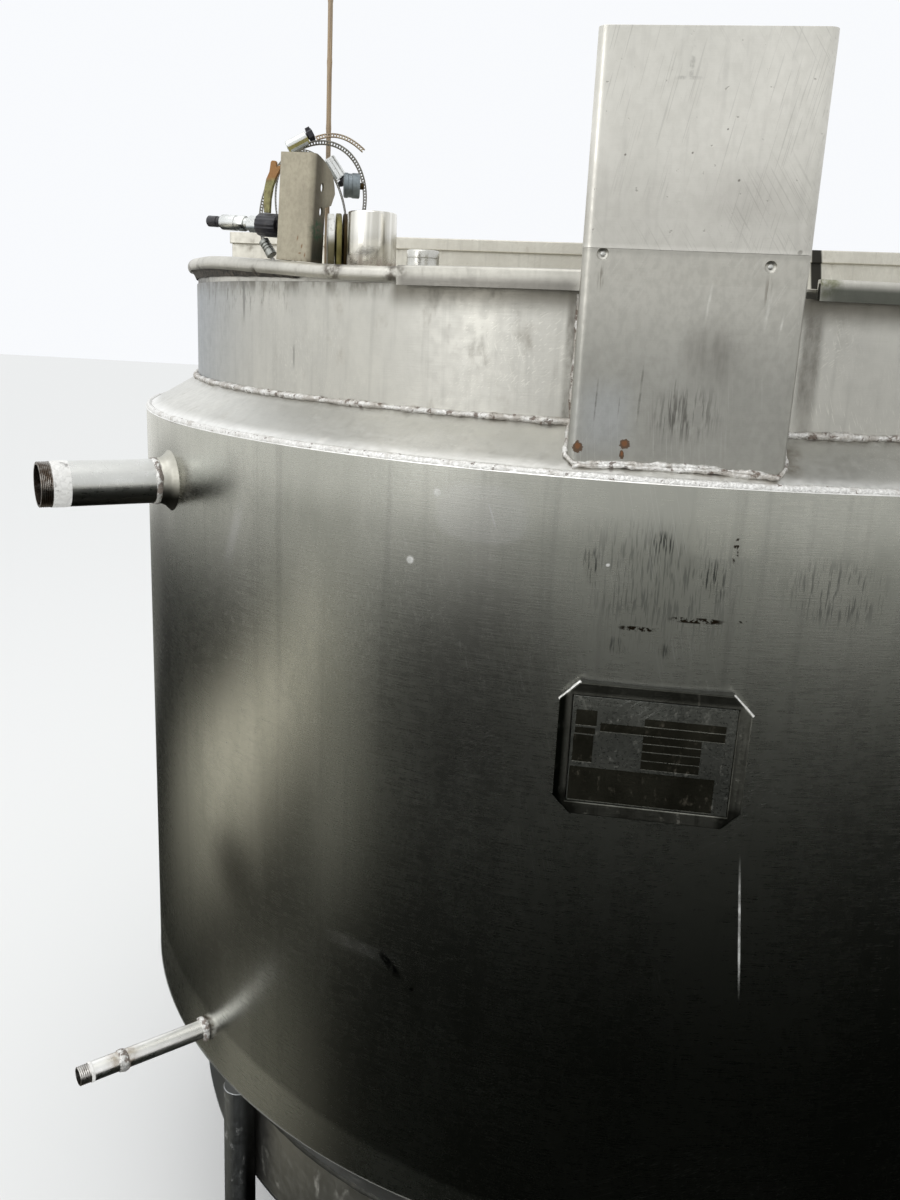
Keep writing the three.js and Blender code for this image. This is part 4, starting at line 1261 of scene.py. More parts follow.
# Fillet welds round the column's foot and up its sides to the neck and the rim.
foot_line = []
for start_x, start_y, end_x, end_y in (
    (
        column_low.x - 1.5 * mm, column_high.y - 4 * mm, column_low.x - 1.5 * mm,
        column_low.y + column_bend,
    ),
    (
        column_low.x + column_bend * 0.6, column_low.y - 1.5 * mm, column_high.x - column_bend * 0.6,
        column_low.y - 1.5 * mm,
    ),
    (
        column_high.x + 1.5 * mm, column_low.y + column_bend, column_high.x + 1.5 * mm,
        column_high.y - 4 * mm,
    ),
):
    for point in stepped(Vector((start_x, start_y, 0)), Vector((end_x, end_y, 0)), 4 * mm):
        foot_line.append(Vector((point.x, point.y, cone_height(point.to_2d().length) + 1.2 * mm)))
low_line = [point + Vector((0, -3.6 * mm, -1.9 * mm)) for point in foot_line if point.y < column_low.y]
piece("column_foot_weld", bead(foot_line, 3.0 * mm, 0.7, 2.0), neck_weld_finish, "column_steel", sharp=80)
piece(
    "column_foot_second_weld", bead(low_line, 2.6 * mm, 0.8, 6.0), neck_weld_finish, "column_steel",
    sharp=80,
)
for side, side_x, direction in (("left", column_low.x, -1.0), ("right", column_high.x, 1.0)):
    weld_x = side_x + direction * 1.2 * mm
    weld_y = -math.sqrt(vessel_radius ** 2 - side_x ** 2) - 1.5 * mm
    side_line = stepped(
        Vector((weld_x, weld_y, cone_head + 2 * mm)), Vector((weld_x, weld_y, rim_top - 24 * mm)), 4 * mm,
    )
    side_mesh = bead(side_line, 2.5 * mm, 0.6, 4.0)
    piece(f"column_side_weld_{side}", side_mesh, dirty_weld_finish, "column_steel", sharp=80)
for number, (screw_x, screw_z) in enumerate(screw_places):
    screw_mesh = spun(
        [(0.0, 0.0), (2.6 * mm, 0.0), (2.6 * mm, 0.7 * mm), (1.9 * mm, 1.1 * mm), (0.0, 1.2 * mm)], 6,
    )
    moved(screw_mesh, turned(90, "X", screw_x, column_low.y + 2.7 * mm, screw_z))
    piece(f"column_screw_{number + 1}", screw_mesh, pipe_finish, "column_steel", sharp=30)

# Data plate
# A dark etched plate in an octagonal frame of steel, which is tacked to the jacket at its corners.
# Its fields are blank.
holder_low, holder_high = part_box("data_plate_frame")
plate_low, plate_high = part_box("data_plate")
holder_corner = 20 * mm
holder_back = -835 * mm


def holder_stains(place):
    """Black along the frame's left and top edges and in its lower corners, a paler right side."""
    strokes = place.grain(260.0, 18.0, 0.46, 0.62, 3.0, 2.1)
    top = place.level(holder_high.z - 13 * mm, holder_high.z - 8 * mm) * 0.8
    corners = (
        place.spot((holder_low.x + 8 * mm, holder_low.y, holder_low.z + 8 * mm), 26 * mm, 0.5)
        | place.spot((holder_high.x - 8 * mm, holder_low.y, holder_low.z + 8 * mm), 22 * mm, 0.5)
    )
    right = place.level(plate_high.x + 2 * mm, plate_high.x + 6 * mm, "X") * (0.75 - strokes * 0.6)
    return (
        (right, (0.21, 0.21, 0.18)),
        (top | corners * 0.85, (0.018, 0.018, 0.014)),
        (place.level(plate_low.x - 3 * mm, holder_low.x + 5 * mm, "X") * 0.98, (0.004, 0.005, 0.003)),
    )


frame_finish = steel_finish(
    "plate_frame", (0.20, 0.20, 0.175), (0.07, 0.07, 0.058), 0.33, 0.3, 0.35, 3.0, stains=holder_stains,
)
etched_finish = steel_finish(
    "etched_plate", (0.24, 0.245, 0.22), (0.15, 0.155, 0.14), 0.3, 0.25, 0.15, 4.0,
)
field_finish = steel_finish(
    "etched_field", (0.05, 0.048, 0.036), (0.022, 0.021, 0.015), 0.42, 0.2, 0.1, 4.0,
)
line_finish = steel_finish("bare_line", (0.60, 0.60, 0.52), (0.36, 0.36, 0.32), 0.30, 0.1, 0.1, 4.0)


def slab(outline, front, back):
    """An outline of (x, z) points stood up facing -Y, from front to back."""
    mesh = stood_up([(x, -z) for x, z in outline], [0.0, back - front])
    moved(mesh, turned(-90, "X", 0, front, 0))
    bmesh.ops.recalc_face_normals(mesh, faces=mesh.faces)
    return mesh


def rectangle(left, right, low, high):
    return [(left, low), (right, low), (right, high), (left, high)]


cut_left, cut_right = holder_low.x + holder_corner, holder_high.x - holder_corner
cut_low, cut_high = holder_low.z + holder_corner, holder_high.z - holder_corner
holder_outline = [
    (cut_left, holder_low.z), (cut_right, holder_low.z), (holder_high.x, cut_low),
    (holder_high.x, cut_high), (cut_right, holder_high.z), (cut_left, holder_high.z),
    (holder_low.x, cut_high), (holder_low.x, cut_low),
]
pocket_outline = rectangle(
    plate_low.x - 0.5 * mm, plate_high.x + 0.5 * mm, plate_low.z - 0.5 * mm, plate_high.z + 0.5 * mm,
)
holder_mesh = carved(slab(holder_outline, holder_low.y, holder_back), [
    slab(pocket_outline, holder_low.y - 1 * mm, plate_high.y + 0.3 * mm),
])
piece(
    "plate_holder", holder_mesh, frame_finish, "plate_steel", "data_plate_frame", sharp=30,
    soft=(1.1, 3, 30),
)
plate_mesh = slab(
    rectangle(plate_low.x, plate_high.x, plate_low.z, plate_high.z), plate_low.y, plate_high.y,
)
piece("etched_plate", plate_mesh, etched_finish, "plate_steel", "data_plate", sharp=30, soft=(0.3, 2, 40))
# Blank fields by their left, right, upper and lower edges from the plate's top left, in mm, each
# with a bare line below it.
plate_fields = (
    (75, 158, 19, 27), (30, 158, 28, 37), (75, 135, 38, 46), (75, 135, 47, 55), (75, 135, 56, 65),
    (75, 135, 66, 75), (1.5, 152, 79, 117), (4, 26, 15, 32), (4, 25, 34.5, 41.5), (3, 24, 43, 73),
)
plate_lines = [(left, right, lower, lower + 0.7) for left, right, upper, lower in plate_fields]
for name, finish, proud, strips in (
    ("plate_fields", field_finish, 0.12, plate_fields), ("plate_lines", line_finish, 0.2, plate_lines),
):
    strips_mesh = bmesh.new()
    for left, right, upper, lower in strips:
        strip = slab(
            rectangle(
                plate_low.x + left * mm, plate_low.x + right * mm, plate_high.z - lower * mm,
                plate_high.z - upper * mm,
            ),
            plate_low.y - proud * mm, plate_low.y + 0.1 * mm,
        )
        strip_data = bpy.data.meshes.new("strip")
        strip.to_mesh(strip_data)
        strip.free()
        strips_mesh.from_mesh(strip_data)
        bpy.data.meshes.remove(strip_data)
    piece(name, strips_mesh, finish, "plate_steel", sharp=30)
for label, side_x, side_z, finish in (
    ("upper_left", -1, 1, weld_finish), ("upper_right", 1, 1, weld_finish),
    ("lower_left", -1, -1, frame_finish), ("lower_right", 1, -1, frame_finish),
):
    corner_x = holder_high.x if side_x > 0 else holder_low.x
    corner_z = holder_high.z if side_z > 0 else holder_low.z
    tack_line = stepped(
        Vector((corner_x, holder_low.y + 3.4 * mm, corner_z - side_z * holder_corner * 1.05)),
        Vector((corner_x - side_x * holder_corner * 1.05, holder_low.y + 3.4 * mm, corner_z)),
        2.5 * mm,
    )
    piece(f"plate_tack_{label}", bead(tack_line, 2.3 * mm, 0.3, 3.0), finish, "plate_steel", sharp=80)

# Bridge over the open top
# A box of plates from side to side under a cap with turned down edges, a few degrees off square to
# the column, with a foot welded to the neck at each end.
bridge_turn = turned(-3.5, "Z")
bridge_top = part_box("bridge_cap")[1].z
bridge_half = 753 * mm
bridge_sheet = 5 * mm
cap_half = 70 * mm
cap_lip = 19.5 * mm
box_half = 62 * mm


def bridge_stains(place):
    """A black streak down the front beside the column: painted shadow."""
    streak = place.mark(241, 1700, 9.5, 70, -0.14, 0.3) * place.level(-0.0745, -0.0760, "Y")
    return ((streak * 0.96, (0.016, 0.015, 0.013)),)


cover_finish, bridge_finish = (
    steel_finish(name, (0.64, 0.62, 0.55), (0.50, 0.48, 0.42), 0.44, 0.4, 0.16, 1.5, stains=stains)
    for name, stains in (("cover_sheet", None), ("bridge_sheet", bridge_stains))
)


def hollow(mesh, open_sides, sheet):
    """Takes off the faces that look the given ways and gives the others their thickness inwards."""
    bmesh.ops.recalc_face_normals(mesh, faces=mesh.faces)
    gone = [face for face in mesh.faces if any(face.normal.dot(Vector(side)) > 0.9 for side in open_sides)]
    bmesh.ops.delete(mesh, geom=gone, context="FACES")
    bmesh.ops.solidify(mesh, geom=mesh.faces[:], thickness=sheet)
    bmesh.ops.recalc_face_normals(mesh, faces=mesh.faces)
    return mesh


cap_mesh = hollow(block(
    (-bridge_half, -cap_half, bridge_top - cap_lip), (bridge_half, cap_half, bridge_top),
), [(0, 0, -1)], bridge_sheet)
webs_mesh = hollow(block(
    (-bridge_half + 1 * mm, -box_half, rim_top + 0.3 * mm),
    (bridge_half - 1 * mm, box_half, bridge_top - bridge_sheet),
), [(0, 0, -1), (0, 0, 1)], bridge_sheet)
bridge_parts = [
    ("bridge_cap_sheet", cap_mesh, bridge_finish, ("bridge_cap",), (1.5, 3, 40)),
    ("bridge_webs", webs_mesh, bridge_finish, ("bridge_box",), (1.0, 2, 40)),
]
for label, start, end in (("left", -759.3, -735.3), ("right", 735.3, 759.3)):
    foot_mesh = block((start * mm, -50 * mm, 1600 * mm), (end * mm, 50 * mm, rim_top + 8 * mm))
    bridge_parts.append((f"bridge_foot_{label}", foot_mesh, cover_finish, (), (1.5, 2, 40)))
for name, mesh, finish, nodes, soft in bridge_parts:
    piece(name, moved(mesh, bridge_turn), finish, "cover_steel", *nodes, soft=soft)

# Half cover
# A flat half disc in front of the bridge, with a short capped stub welded on it.
cover_low, cover_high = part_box("front_cover")
cover_mesh = bmesh.new()
bmesh.ops.create_circle(cover_mesh, cap_ends=True, segments=192, radius=vessel_inside - 0.3 * mm)
trimmed(cover_mesh, bridge_turn @ Vector((0, -box_half - 0.3 * mm, 0)), bridge_turn @ Vector((0, 1, 0)))
bmesh.ops.translate(cover_mesh, vec=(0, 0, cover_low.z), verts=cover_mesh.verts)
cover_grown = bmesh.ops.extrude_face_region(
    cover_mesh, geom=cover_mesh.faces[:], use_keep_orig=True,
)["geom"]
bmesh.ops.translate(
    cover_mesh, vec=(0, 0, cover_high.z - cover_low.z),
    verts=[item for item in cover_grown if isinstance(item, bmesh.types.BMVert)],
)
bmesh.ops.recalc_face_normals(cover_mesh, faces=cover_mesh.faces)
piece("half_cover", cover_mesh, cover_finish, "cover_steel", "front_cover", soft=(0.8, 2, 40))


def upright(node, profile, steps=64):
    """A round piece built on its own axis, stood where its CAD node stands."""
    low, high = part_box(node)
    mesh = spun(profile, steps)
    bmesh.ops.translate(mesh, vec=((low.x + high.x) / 2, (low.y + high.y) / 2, low.z), verts=mesh.verts)
    return mesh


stub_radius = 25 * mm
stub_height = 55 * mm
stub_finish = steel_finish("stub_plate", (0.74, 0.73, 0.68), (0.50, 0.49, 0.45), 0.24, 0.4, 0.2, 4.0)
piece("capped_stub", upright("cover_stub", [
    (0.0, 0.0), (stub_radius + 2.5 * mm, 0.0), (stub_radius, 3 * mm), (stub_radius, stub_height - 12 * mm),
    (stub_radius - 0.8 * mm, stub_height - 11.5 * mm), (stub_radius, stub_height - 11 * mm),
    (stub_radius, stub_height - 2.5 * mm), (stub_radius - 0.8 * mm, stub_height - 0.8 * mm),
    (stub_radius - 2.8 * mm, stub_height), (0.0, stub_height),
]), stub_finish, "cover_steel", "cover_stub", sharp=50)

# Polished drum
# A turned, polished can on the cover. Its side has upright bands of painted reflection, and rust creeps up
# its foot.
drum_radius = 29 * mm
drum_height = 70.7 * mm
drum_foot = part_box("drum")[0].z
finish, place = start_finish("polished_drum")
rusty = (place.along("Z") - drum_foot).ramp(30 * mm, 4 * mm) * place.grain(70.0, 60.0, 0.38, 0.62, 4.0, 2.0)
# Upright light and dark bands: painted reflections.
colour = place.grain(130.0, 3.0, 0.35, 0.65, 2.0).between((0.86, 0.84, 0.78), (0.60, 0.58, 0.52))
drum_finish = dress(
    finish, colour.layered((rusty * 0.85, (0.17, 0.085, 0.04))), 0.20 + rusty * 0.4,
    place.grain(300.0, 300.0), 0.03, 1.0 - rusty * 0.7,
)
piece(
    "polished_drum",
    upright(
        "drum",
        [
            (0.0, 0.0), (drum_radius - 0.6 * mm, 0.0), (drum_radius, 0.6 * mm),
            (drum_radius, drum_height - 2.2 * mm), (drum_radius - 0.6 * mm, drum_height - 0.7 * mm),
            (drum_radius - 2.2 * mm, drum_height), (drum_radius - 5 * mm, drum_height),
            (drum_radius - 6 * mm, drum_height - 1.5 * mm), (0.0, drum_height - 1.5 * mm),
        ],
        72,
    ),
    drum_finish, "plated_steel", "drum", sharp=50,
)

# Rim bracket
# A folded channel of thin sheet, khaki with age, that leans a little on the crown of the rim. Its
# right flange is stepped and has two slots.
bracket_place = Matrix.Translation((-460.9 * mm, -614.1 * mm, rim_top + 5.9 * mm)) @ turned(-18, "Z")
bracket_lean = bracket_place @ turned(3, "Y", 0, 0, -0.64 * mm)


def set_down(mesh, place):
    """Places a mesh that was built in millimetres."""
    return moved(mesh, place @ Matrix.Scale(mm, 4))


finish, place = start_finish("bracket_sheet")
clouds = place.grain(30.0, 22.0, 0.30, 0.70, 5.0)
mottling = place.grain(260.0, 200.0, 0.38, 0.66, 3.0, 3.1)
soil = place.grain(70.0, 50.0, 0.54, 0.72, 4.0, 6.0)
depth_back = place.new("VectorMath", {0: place, 1: (0.309, 0.951, 0.0)}, "Value", operation="DOT_PRODUCT")
# The flange going back is painted dark as shade, a little lighter at its top back.
flange_soil = depth_back.ramp(-724 * mm, -717 * mm)
flange_back = depth_back.ramp(-713 * mm, -694 * mm) * place.level(1.712, 1.740) * 0.65
strokes = [
    place.mark(x, z, half_x, half_z, 0.2, 0.7, 2.0) * (0.35 + mottling * 0.5) for x, z, half_x, half_z in (
        (-453, 1690, 1.6, 4.5), (-447, 1681, 1.4, 4.0), (-450, 1673, 3.0, 1.4), (-443, 1671, 1.3, 3.5),
    )
]
colour = clouds.between((0.40, 0.362, 0.272), (0.335, 0.302, 0.226)).layered(
    (mottling * 0.12, (0.17, 0.155, 0.12)),
    (soil * 0.30, (0.13, 0.10, 0.065)),
    (flange_soil * (0.92 - flange_back), (0.085, 0.072, 0.048)),
    # Near black low on the flange: painted shade.
    (place.level(1705 * mm, 1662 * mm) * flange_soil * 0.90, (0.030, 0.034, 0.024)),
    (place.spot((-0.433, -0.606, 1.700), 0.018) * mottling * 0.8, (0.02, 0.09, 0.045)),
    (place.level(1.669, 1.662) * (0.3 + mottling * 0.6) * 0.7, (0.12, 0.085, 0.05)),
    *((stroke, (0.19, 0.085, 0.025)) for stroke in strokes),
)
bracket_finish = dress(finish, colour, 0.58 + mottling * 0.12, mottling + clouds, 0.08, 0.35 - soil * 0.3)
bracket_mesh = stood_up(channel(48, 50, 3, 3.2, 5.5, 6), [0.0, 122.0])
# The stepped flange by its depth and height.
flange_steps = [
    (0, 0), (30, 0), (30, 64), (43, 68), (50, 82), (48.5, 89.5), (46, 96.2), (42.5, 102), (38, 107),
    (30, 112.4), (22.5, 116.7), (15, 119.9), (8, 122), (0, 122),
]
flange_keep = moved(stood_up([(-z, y) for y, z in flange_steps], [-40.0, 40.0]), turned(90, "Y"))
bmesh.ops.recalc_face_normals(flange_keep, faces=flange_keep.faces)
bracket_mesh = carved(bracket_mesh, [flange_keep], "INTERSECT")
slot_cutters = []
for slot_height in (59, 86):
    slot = spun([(0.0, 0.0), (1.0, 0.0), (1.0, 20.0), (0.0, 20.0)], 24)
    bmesh.ops.scale(slot, vec=(5.5, 3.5, 1.0), verts=slot.verts)
    slot_cutters.append(moved(slot, turned(90, "Y", 12, 22, slot_height)))
bracket_mesh = set_down(carved(bracket_mesh, slot_cutters), bracket_lean)
piece(
    "rim_bracket_sheet", bracket_mesh, bracket_finish, "bracket_steel", "rim_bracket", sharp=30,
    soft=(0.4, 2, 40),
)

# Stick
# A dry, slightly crooked stick that stands on the cover behind the bracket.
rod_low, rod_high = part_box("bracket_rod")
finish, place = start_finish("dry_stick")
fibre = place.grain(700.0, 25.0, 0.30, 0.70, 4.0)
rod_finish = dress(finish, fibre.between((0.44, 0.33, 0.21), (0.24, 0.17, 0.105)).layered(
    (place.grain(60.0, 14.0, 0.35, 0.70, 4.0, 5.0) * 0.6, (0.30, 0.26, 0.21)),
), 0.8, fibre, 0.3)


def rod_radius(height):
    """The stick is a little thicker at each of its knots."""
    from_knot = (height - rod_low.z) % (74 * mm) - 37 * mm
    return 3.1 * mm + 0.55 * mm * math.exp(-from_knot ** 2 / (3 * mm) ** 2)


rod_mesh = spun(
    [(0.0, rod_low.z)]
    + [(rod_radius(height), height) for height in rows_between(rod_low.z, rod_high.z, 60)]
    + [(0.0, rod_high.z)],
    16,
)
for vert in rod_mesh.verts:
    bend = noise.noise(Vector((0, 3.0, vert.co.z * 9.0))) * 0.5 * mm
    vert.co.x += (rod_low.x + rod_high.x) / 2 + bend
    vert.co.y += (rod_low.y + rod_high.y) / 2 - bend
piece("dry_stick", rod_mesh, rod_finish, "rod_wood", "bracket_rod")

# Discs beside the bracket
# Three thin discs on one spindle, standing on their rims on the cover: a white one, an olive plated
# one and a dark brown one. They share the clamps' place.
clamp_place = Matrix.Translation((-463 * mm, -531 * mm, cover_high.z + 0.3 * mm)) @ turned(16.7, "Z")
plated_finish = steel_finish("bright_plating", (0.84, 0.85, 0.83), (0.60, 0.61, 0.59), 0.22, 0.2, 0.1, 5.0)
olive_finish = steel_finish("olive_plating", (0.30, 0.27, 0.11), (0.18, 0.16, 0.065), 0.40, 0.5, 0.2, 5.0)
brown_finish = steel_finish(
    "brown_rubber", (0.078, 0.055, 0.024), (0.035, 0.024, 0.011), 0.6, 0.3, 0.1, 5.0,
)
finish, place = start_finish("white_gasket")
soil = place.grain(110.0, 110.0, 0.50, 0.72, 4.0)
# The white disc is olive dark where soiled and, lower down, with painted shade.
white_finish = dress(finish, (soil * 0.6 | place.level(1.702, 1.684) * 0.97).between(
    (0.90, 0.90, 0.86), (0.13, 0.11, 0.045),
), 0.5, soil, 0.2)
for label, start, end, radius, finish, nodes in (
    (1, 19, 27, 36, white_finish, ()), (2, 10, 17, 37, olive_finish, ("disc_stack",)),
    (3, 1, 8, 37, brown_finish, ()),
):
    disc = moved(
        spun(
            [
                (0.0, start - 1.0), (13.0, start - 1.0), (13.0, start), (radius - 1.2, start),
                (radius - 0.3, start + 0.5), (radius, start + 1.4), (radius, end - 1.4),
                (radius - 0.3, end - 0.5), (radius - 1.2, end), (12.0, end), (11.0, end - 1.0),
                (0.0, end - 1.0),
            ],
            56,
        ),
        turned(-90, "Y", 48.5, -45.6, 37),
    )
    piece(f"disc_{label}", set_down(disc, clamp_place), finish, "olive_plated", *nodes, sharp=40)

# Probe at the bracket's left
# A ribbed black knob on a spindle, a plated hose fitting with a black end, a short grey elbow and a
# bent olive tab.
finish, place = start_finish("black_moulding")
dust = place.grain(130.0, 130.0, 0.48, 0.74, 4.0)
black_finish = dress(
    finish, (dust * 0.5).between((0.010, 0.009, 0.013), (0.07, 0.06, 0.055)), 0.34 + dust * 0.3, dust, 0.2,
)
grey_finish = steel_finish("grey_casting", (0.40, 0.41, 0.38), (0.20, 0.205, 0.19), 0.45, 0.4, 0.2, 5.0)
finish, place = start_finish("tab_plating")
scaly = place.grain(150.0, 150.0, 0.36, 0.66, 4.0)
tab_finish = dress(finish, scaly.between((0.25, 0.235, 0.10), (0.15, 0.13, 0.055)).layered(
    (place.level(1757 * mm, 1764 * mm), (0.27, 0.135, 0.045)),
), 0.5, scaly, 0.2, 0.4)


def fitting_stains(place):
    """The lower half of the fitting is dark."""
    return ((place.level(1.7070, 1.7035) * 0.9, (0.07, 0.085, 0.09)),)


fitting_finish = steel_finish(
    "fitting_plating", (0.84, 0.85, 0.83), (0.60, 0.61, 0.59), 0.22, 0.2, 0.1, 5.0, stains=fitting_stains,
)
probe_y = 29
probe_z = 40
knob_length = 46
knob_start = -24.3
fitting_start = knob_start - knob_length - 0.3
knob = spun([
    (0.0, 0.0), (7.6, 0.0), (7.6, 4.0), (8.0, 5.0), (8.0, 10.0), (7.2, 11.0), (7.2, 16.0), (12.6, 16.6),
    (13.6, 18.0), (13.6, knob_length - 2.0), (12.6, knob_length), (0.0, knob_length),
], 64)
for vert in knob.verts:
    if vert.co.xy.length > 12.0:
        swell = 1.0 + 0.028 * math.cos(16 * math.atan2(vert.co.y, vert.co.x))
        vert.co.x *= swell
        vert.co.y *= swell
hex_part = spun([(0.0, 0.0), (9.2, 0.0), (10.0, 0.9), (10.0, 15.1), (9.2, 16.0), (0.0, 16.0)], 6)
body_part = spun([
    (0.0, 16.0), (7.4, 16.0), (7.4, 20.8), (8.8, 21.4), (9.4, 22.6), (9.4, 31.0), (8.2, 32.0), (8.2, 35.0),
    (9.4, 36.0), (9.4, 56.6), (8.6, 58.0), (0.0, 58.0),
], 40)
end_part = spun(
    [
        (0.0, 58.2), (6.8, 58.2), (6.8, 61.6), (5.9, 62.2), (5.9, 65.4), (6.8, 66.0), (6.8, 79.0),
        (6.0, 80.0), (0.0, 80.0),
    ],
    32,
)
for name, part, start, finish, slot, nodes, sharp in (
    ("ribbed_knob", knob, knob_start, black_finish, "black_plastic", ("probe_knob",), 40),
    ("fitting_hexagon", hex_part, fitting_start, fitting_finish, "plated_steel", ("probe_fitting",), 30),
    ("fitting_body", body_part, fitting_start, fitting_finish, "plated_steel", (), 40),
    ("fitting_end", end_part, fitting_start, black_finish, "black_plastic", (), 40),
):
    moved(part, turned(-90, "Y", start, probe_y, probe_z))
    piece(name, set_down(part, bracket_lean), finish, slot, *nodes, sharp=sharp)
elbow_profile = [(0.0, -11.0), (5.9, -11.0), (6.5, -10.4), (6.5, -4.0)]
for rib in range(3):
    elbow_profile += [
        (5.4, -3.4 + rib * 3.8), (5.4, -2.2 + rib * 3.8), (6.5, -1.4 + rib * 3.8),
        (6.5, -0.2 + rib * 3.8),
    ]
elbow_profile += [(6.5, 10.4), (5.9, 11.0), (0.0, 11.0)]
elbow = moved(spun(elbow_profile, 32), turned(-40, "Y", -57, probe_y, 13))
piece("ribbed_elbow", set_down(elbow, bracket_lean), grey_finish, "plated_steel", "probe_elbow", sharp=40)
tab_edge = [
    (-64, probe_z + 14.3), (-55.5, probe_z + 14.3), (-55.2, 70), (-52.9, 83.6), (-48.5, 95.6), (-42, 106),
    (-42, 111), (-48.5, 107), (-49.2, 113.4), (-51, 115), (-55.4, 115), (-57, 113.2), (-58.5, 102),
    (-62.8, 93.4), (-65.1, 82.6), (-65.5, 69.5),
]
tab = set_down(slab(tab_edge, probe_y - 2, probe_y + 2), bracket_lean)
piece("olive_tab", tab, tab_finish, "olive_plated", "bent_tab", sharp=30, soft=(0.6, 2, 40))

# Worm drive clamps
# Two perforated steel straps bent into leaning loops, each with its worm housing and screw. The
# larger one's tail stands free at the top, and a short plug hangs inside it.
strap_width = 12.0
strap_sheet = 1.0
hole_pitch = 3.6
large_loop = {"x": 4.1, "rx": 63.2, "rz": 83.9, "lean": -22.5, "y": 0.0, "screw": 134}
small_loop = {"x": 2.1, "rx": 44.5, "rz": 77.6, "lean": 11.8, "y": 13.0, "screw": 38}


def on_loop(loop, turn, shrink=0.0):
    """Point (x, z) on a loop at an angle round it."""
    lean = math.radians(loop["lean"])
    across = (loop["rx"] - shrink) * math.cos(turn)
    along = (loop["rz"] - shrink) * math.sin(turn)
    middle = math.hypot(loop["rx"] * math.sin(lean), loop["rz"] * math.cos(lean))
    return Vector((
        loop["x"] + across * math.cos(lean) - along * math.sin(lean),
        middle + across * math.sin(lean) + along * math.cos(lean),
    ))


def strap(path, y, twist, closed):
    """A perforated strap bent along a path of (x, z) points, its width turned by twist."""
    lengths = [0.0]
    for before, after in zip(path, path[1:]):
        lengths.append(lengths[-1] + (after - before).length)
    holes = round(lengths[-1] / hole_pitch)
    mesh = bmesh.new()
    bmesh.ops.create_grid(mesh, x_segments=holes * 2, y_segments=3, size=0.5)
    open_faces = []
    for face in mesh.faces:
        middle = face.calc_center_median()
        cell = math.floor((middle.x + 0.5) * holes * 2)
        if abs(middle.y) < 0.1 and cell % 2 == 1:
            open_faces.append(face)
    bmesh.ops.delete(mesh, geom=open_faces, context="FACES")
    for vert in mesh.verts:
        share = (vert.co.x + 0.5) * lengths[-1]
        across = vert.co.y * strap_width * (1.0 if abs(vert.co.y) > 0.4 else 1.75)
        reached = next((number for number, far in enumerate(lengths) if far >= share), len(path) - 1)
        index = max(1, min(len(path) - 1, reached))
        before, after = path[index - 1], path[index]
        point = before.lerp(after, (share - lengths[index - 1]) / (lengths[index] - lengths[index - 1]))
        along = (after - before).normalized()
        outward = Vector((-along.y, along.x))
        vert.co = Vector((
            point.x + outward.x * across * math.sin(twist),
            y + strap_width / 2 + across * math.cos(twist),
            point.y + outward.y * across * math.sin(twist),
        ))
    if closed:
        bmesh.ops.remove_doubles(mesh, verts=mesh.verts, dist=0.05)
    bmesh.ops.recalc_face_normals(mesh, faces=mesh.faces)
    bmesh.ops.solidify(mesh, geom=mesh.faces[:], thickness=strap_sheet)
    bmesh.ops.recalc_face_normals(mesh, faces=mesh.faces)
    return mesh


strap_finish = steel_finish("strap_steel", (0.34, 0.33, 0.29), (0.10, 0.095, 0.08), 0.34, 0.5, 0.2, 5.0)
tail_finish = steel_finish(
    "strap_tail", (0.46, 0.40, 0.28), (0.20, 0.13, 0.07), 0.36, 0.6, 0.2, 5.0, (0.30, 0.13, 0.04),
)
for label, loop, twist in (("large", large_loop, 0.30), ("small", small_loop, 0.10)):
    loop_path = [on_loop(loop, math.radians(turn), 0.6) for turn in range(0, 361, 3)]
    strap_mesh = set_down(strap(loop_path, loop["y"], twist, True), clamp_place)
    piece(f"clamp_strap_{label}", strap_mesh, strap_finish, "plated_steel", f"clamp_band_{label}", sharp=30)
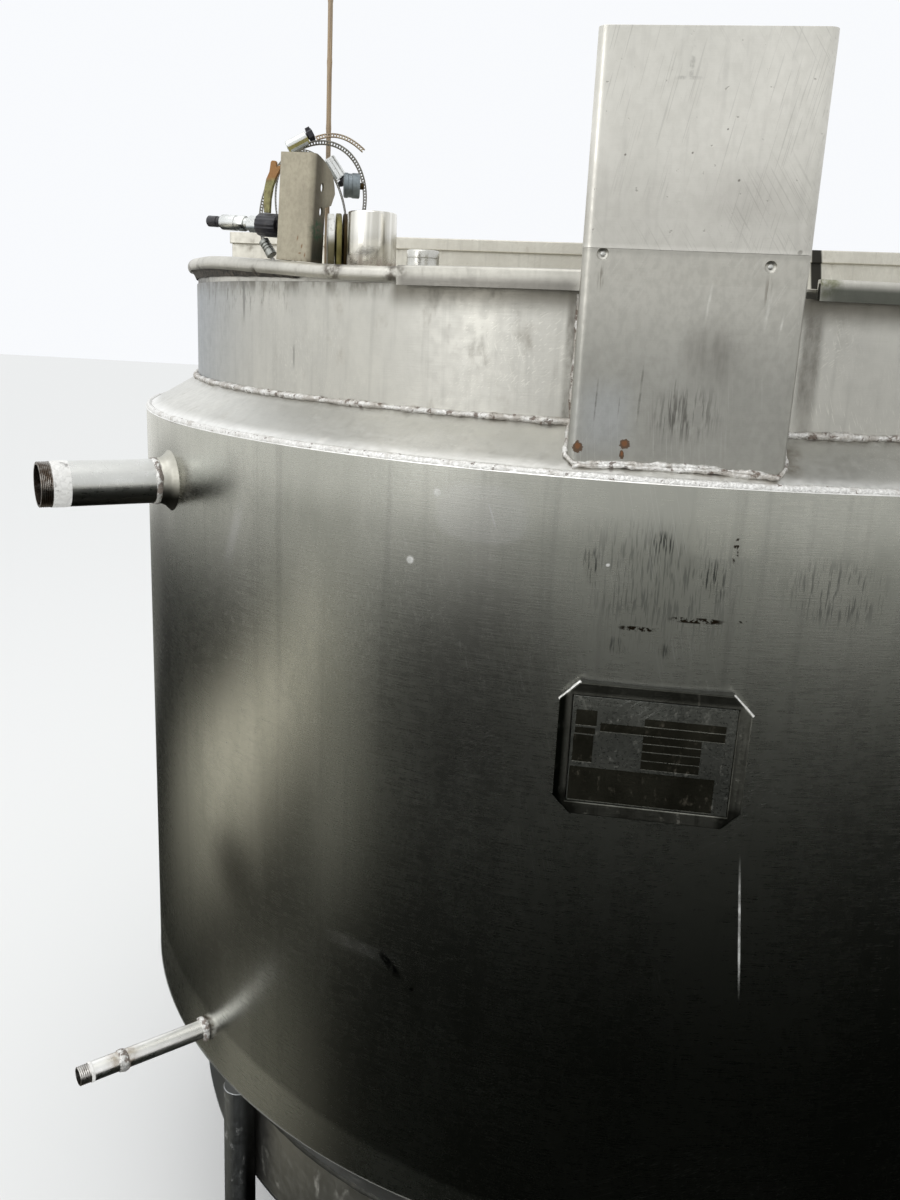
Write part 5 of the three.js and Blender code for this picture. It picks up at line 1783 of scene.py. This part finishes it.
# The free tail is one curve through four guide points.
tail_guides = [Vector((6.8, 166.0)), Vector((31.0, 176.0)), Vector((49.0, 170.0)), Vector((67.0, 155.0))]
tail_path = []
for share in rows_between(0.0, 1.0, 24):
    rest = 1.0 - share
    weights = (rest ** 3, 3 * rest ** 2 * share, 3 * rest * share ** 2, share ** 3)
    tail_path.append(
        sum((guide * weight for guide, weight in zip(tail_guides, weights)), Vector((0.0, 0.0)))
    )
tail_mesh = set_down(strap(tail_path, large_loop["y"], 0.55, False), clamp_place)
piece("clamp_tail", tail_mesh, tail_finish, "plated_steel", sharp=30)
housing_half = 14.0
housing_radius = 7.0
for label, loop in (("large", large_loop), ("small", small_loop)):
    at = math.radians(loop["screw"])
    along = (on_loop(loop, at - 0.01) - on_loop(loop, at + 0.01)).normalized()
    seat = on_loop(loop, at)
    worm_place = Matrix.Translation((seat.x, loop["y"] + strap_width / 2, seat.y)) @ Matrix.Rotation(
        math.atan2(-along.y, along.x), 4, "Y",
    )
    barrel = spun([
        (0.0, -housing_half), (housing_radius - 0.8, -housing_half), (housing_radius, -housing_half + 0.8),
        (housing_radius, housing_half - 0.8), (housing_radius - 0.8, housing_half), (0.0, housing_half),
    ], 32)
    head = spun(
        [
            (0.0, housing_half), (4.0, housing_half), (4.0, housing_half + 1.2),
            (7.4, housing_half + 1.6), (7.4, housing_half + 8.2), (6.6, housing_half + 9.0),
            (3.0, housing_half + 9.0), (2.6, housing_half + 6.0), (0.0, housing_half + 6.0),
        ],
        6,
    )
    for part in (barrel, head):
        moved(part, turned(90, "Y", 0, 0, housing_radius))
    cradle = block((-housing_half, -6.8, -1.5), (housing_half, 6.8, 6.5))
    saddle = block((-housing_half + 2, -7.4, -2.2), (housing_half - 2, 7.4, 1.2))
    wings = block(
        (housing_half + 2.0, -1.1, housing_radius - 9.5), (housing_half + 8.0, 1.1, housing_radius + 9.5),
    )
    for name, part, finish, nodes in (
        ("barrel", barrel, plated_finish, (f"clamp_screw_{label}",)),
        ("cradle", cradle, olive_finish if label == "large" else plated_finish, ()),
        ("saddle", saddle, grey_finish, ()),
        ("head", head, black_finish, ()),
        ("wings", wings, black_finish, ()),
    ):
        set_down(moved(part, worm_place), clamp_place)
        piece(f"clamp_{name}_{label}", part, finish, "plated_steel", *nodes, soft=(0.35, 2, 40))
plug_finish = steel_finish("plug_casting", (0.30, 0.34, 0.36), (0.15, 0.17, 0.18), 0.5, 0.4, 0.2, 5.0)
plug_body = spun(
    [
        (0.0, 0.0), (13.6, 0.0), (15.0, 1.4), (15.0, 5.0), (14.2, 5.8), (14.2, 10.0), (15.0, 10.8),
        (15.0, 18.8), (14.0, 20.0), (0.0, 20.0),
    ],
    40,
)
plug_end = spun([(0.0, 19.0), (4.0, 19.0), (4.0, 25.0), (3.4, 25.6), (0.0, 25.6)], 24)
for label, part, finish, nodes in (
    ("body", plug_body, plug_finish, ("clamp_plug",)), ("end", plug_end, brown_finish, ()),
):
    set_down(moved(part, turned(90, "Y", 42, -4, 111.7)), clamp_place)
    piece(f"plug_{label}", part, finish, "plated_steel", *nodes, sharp=40)
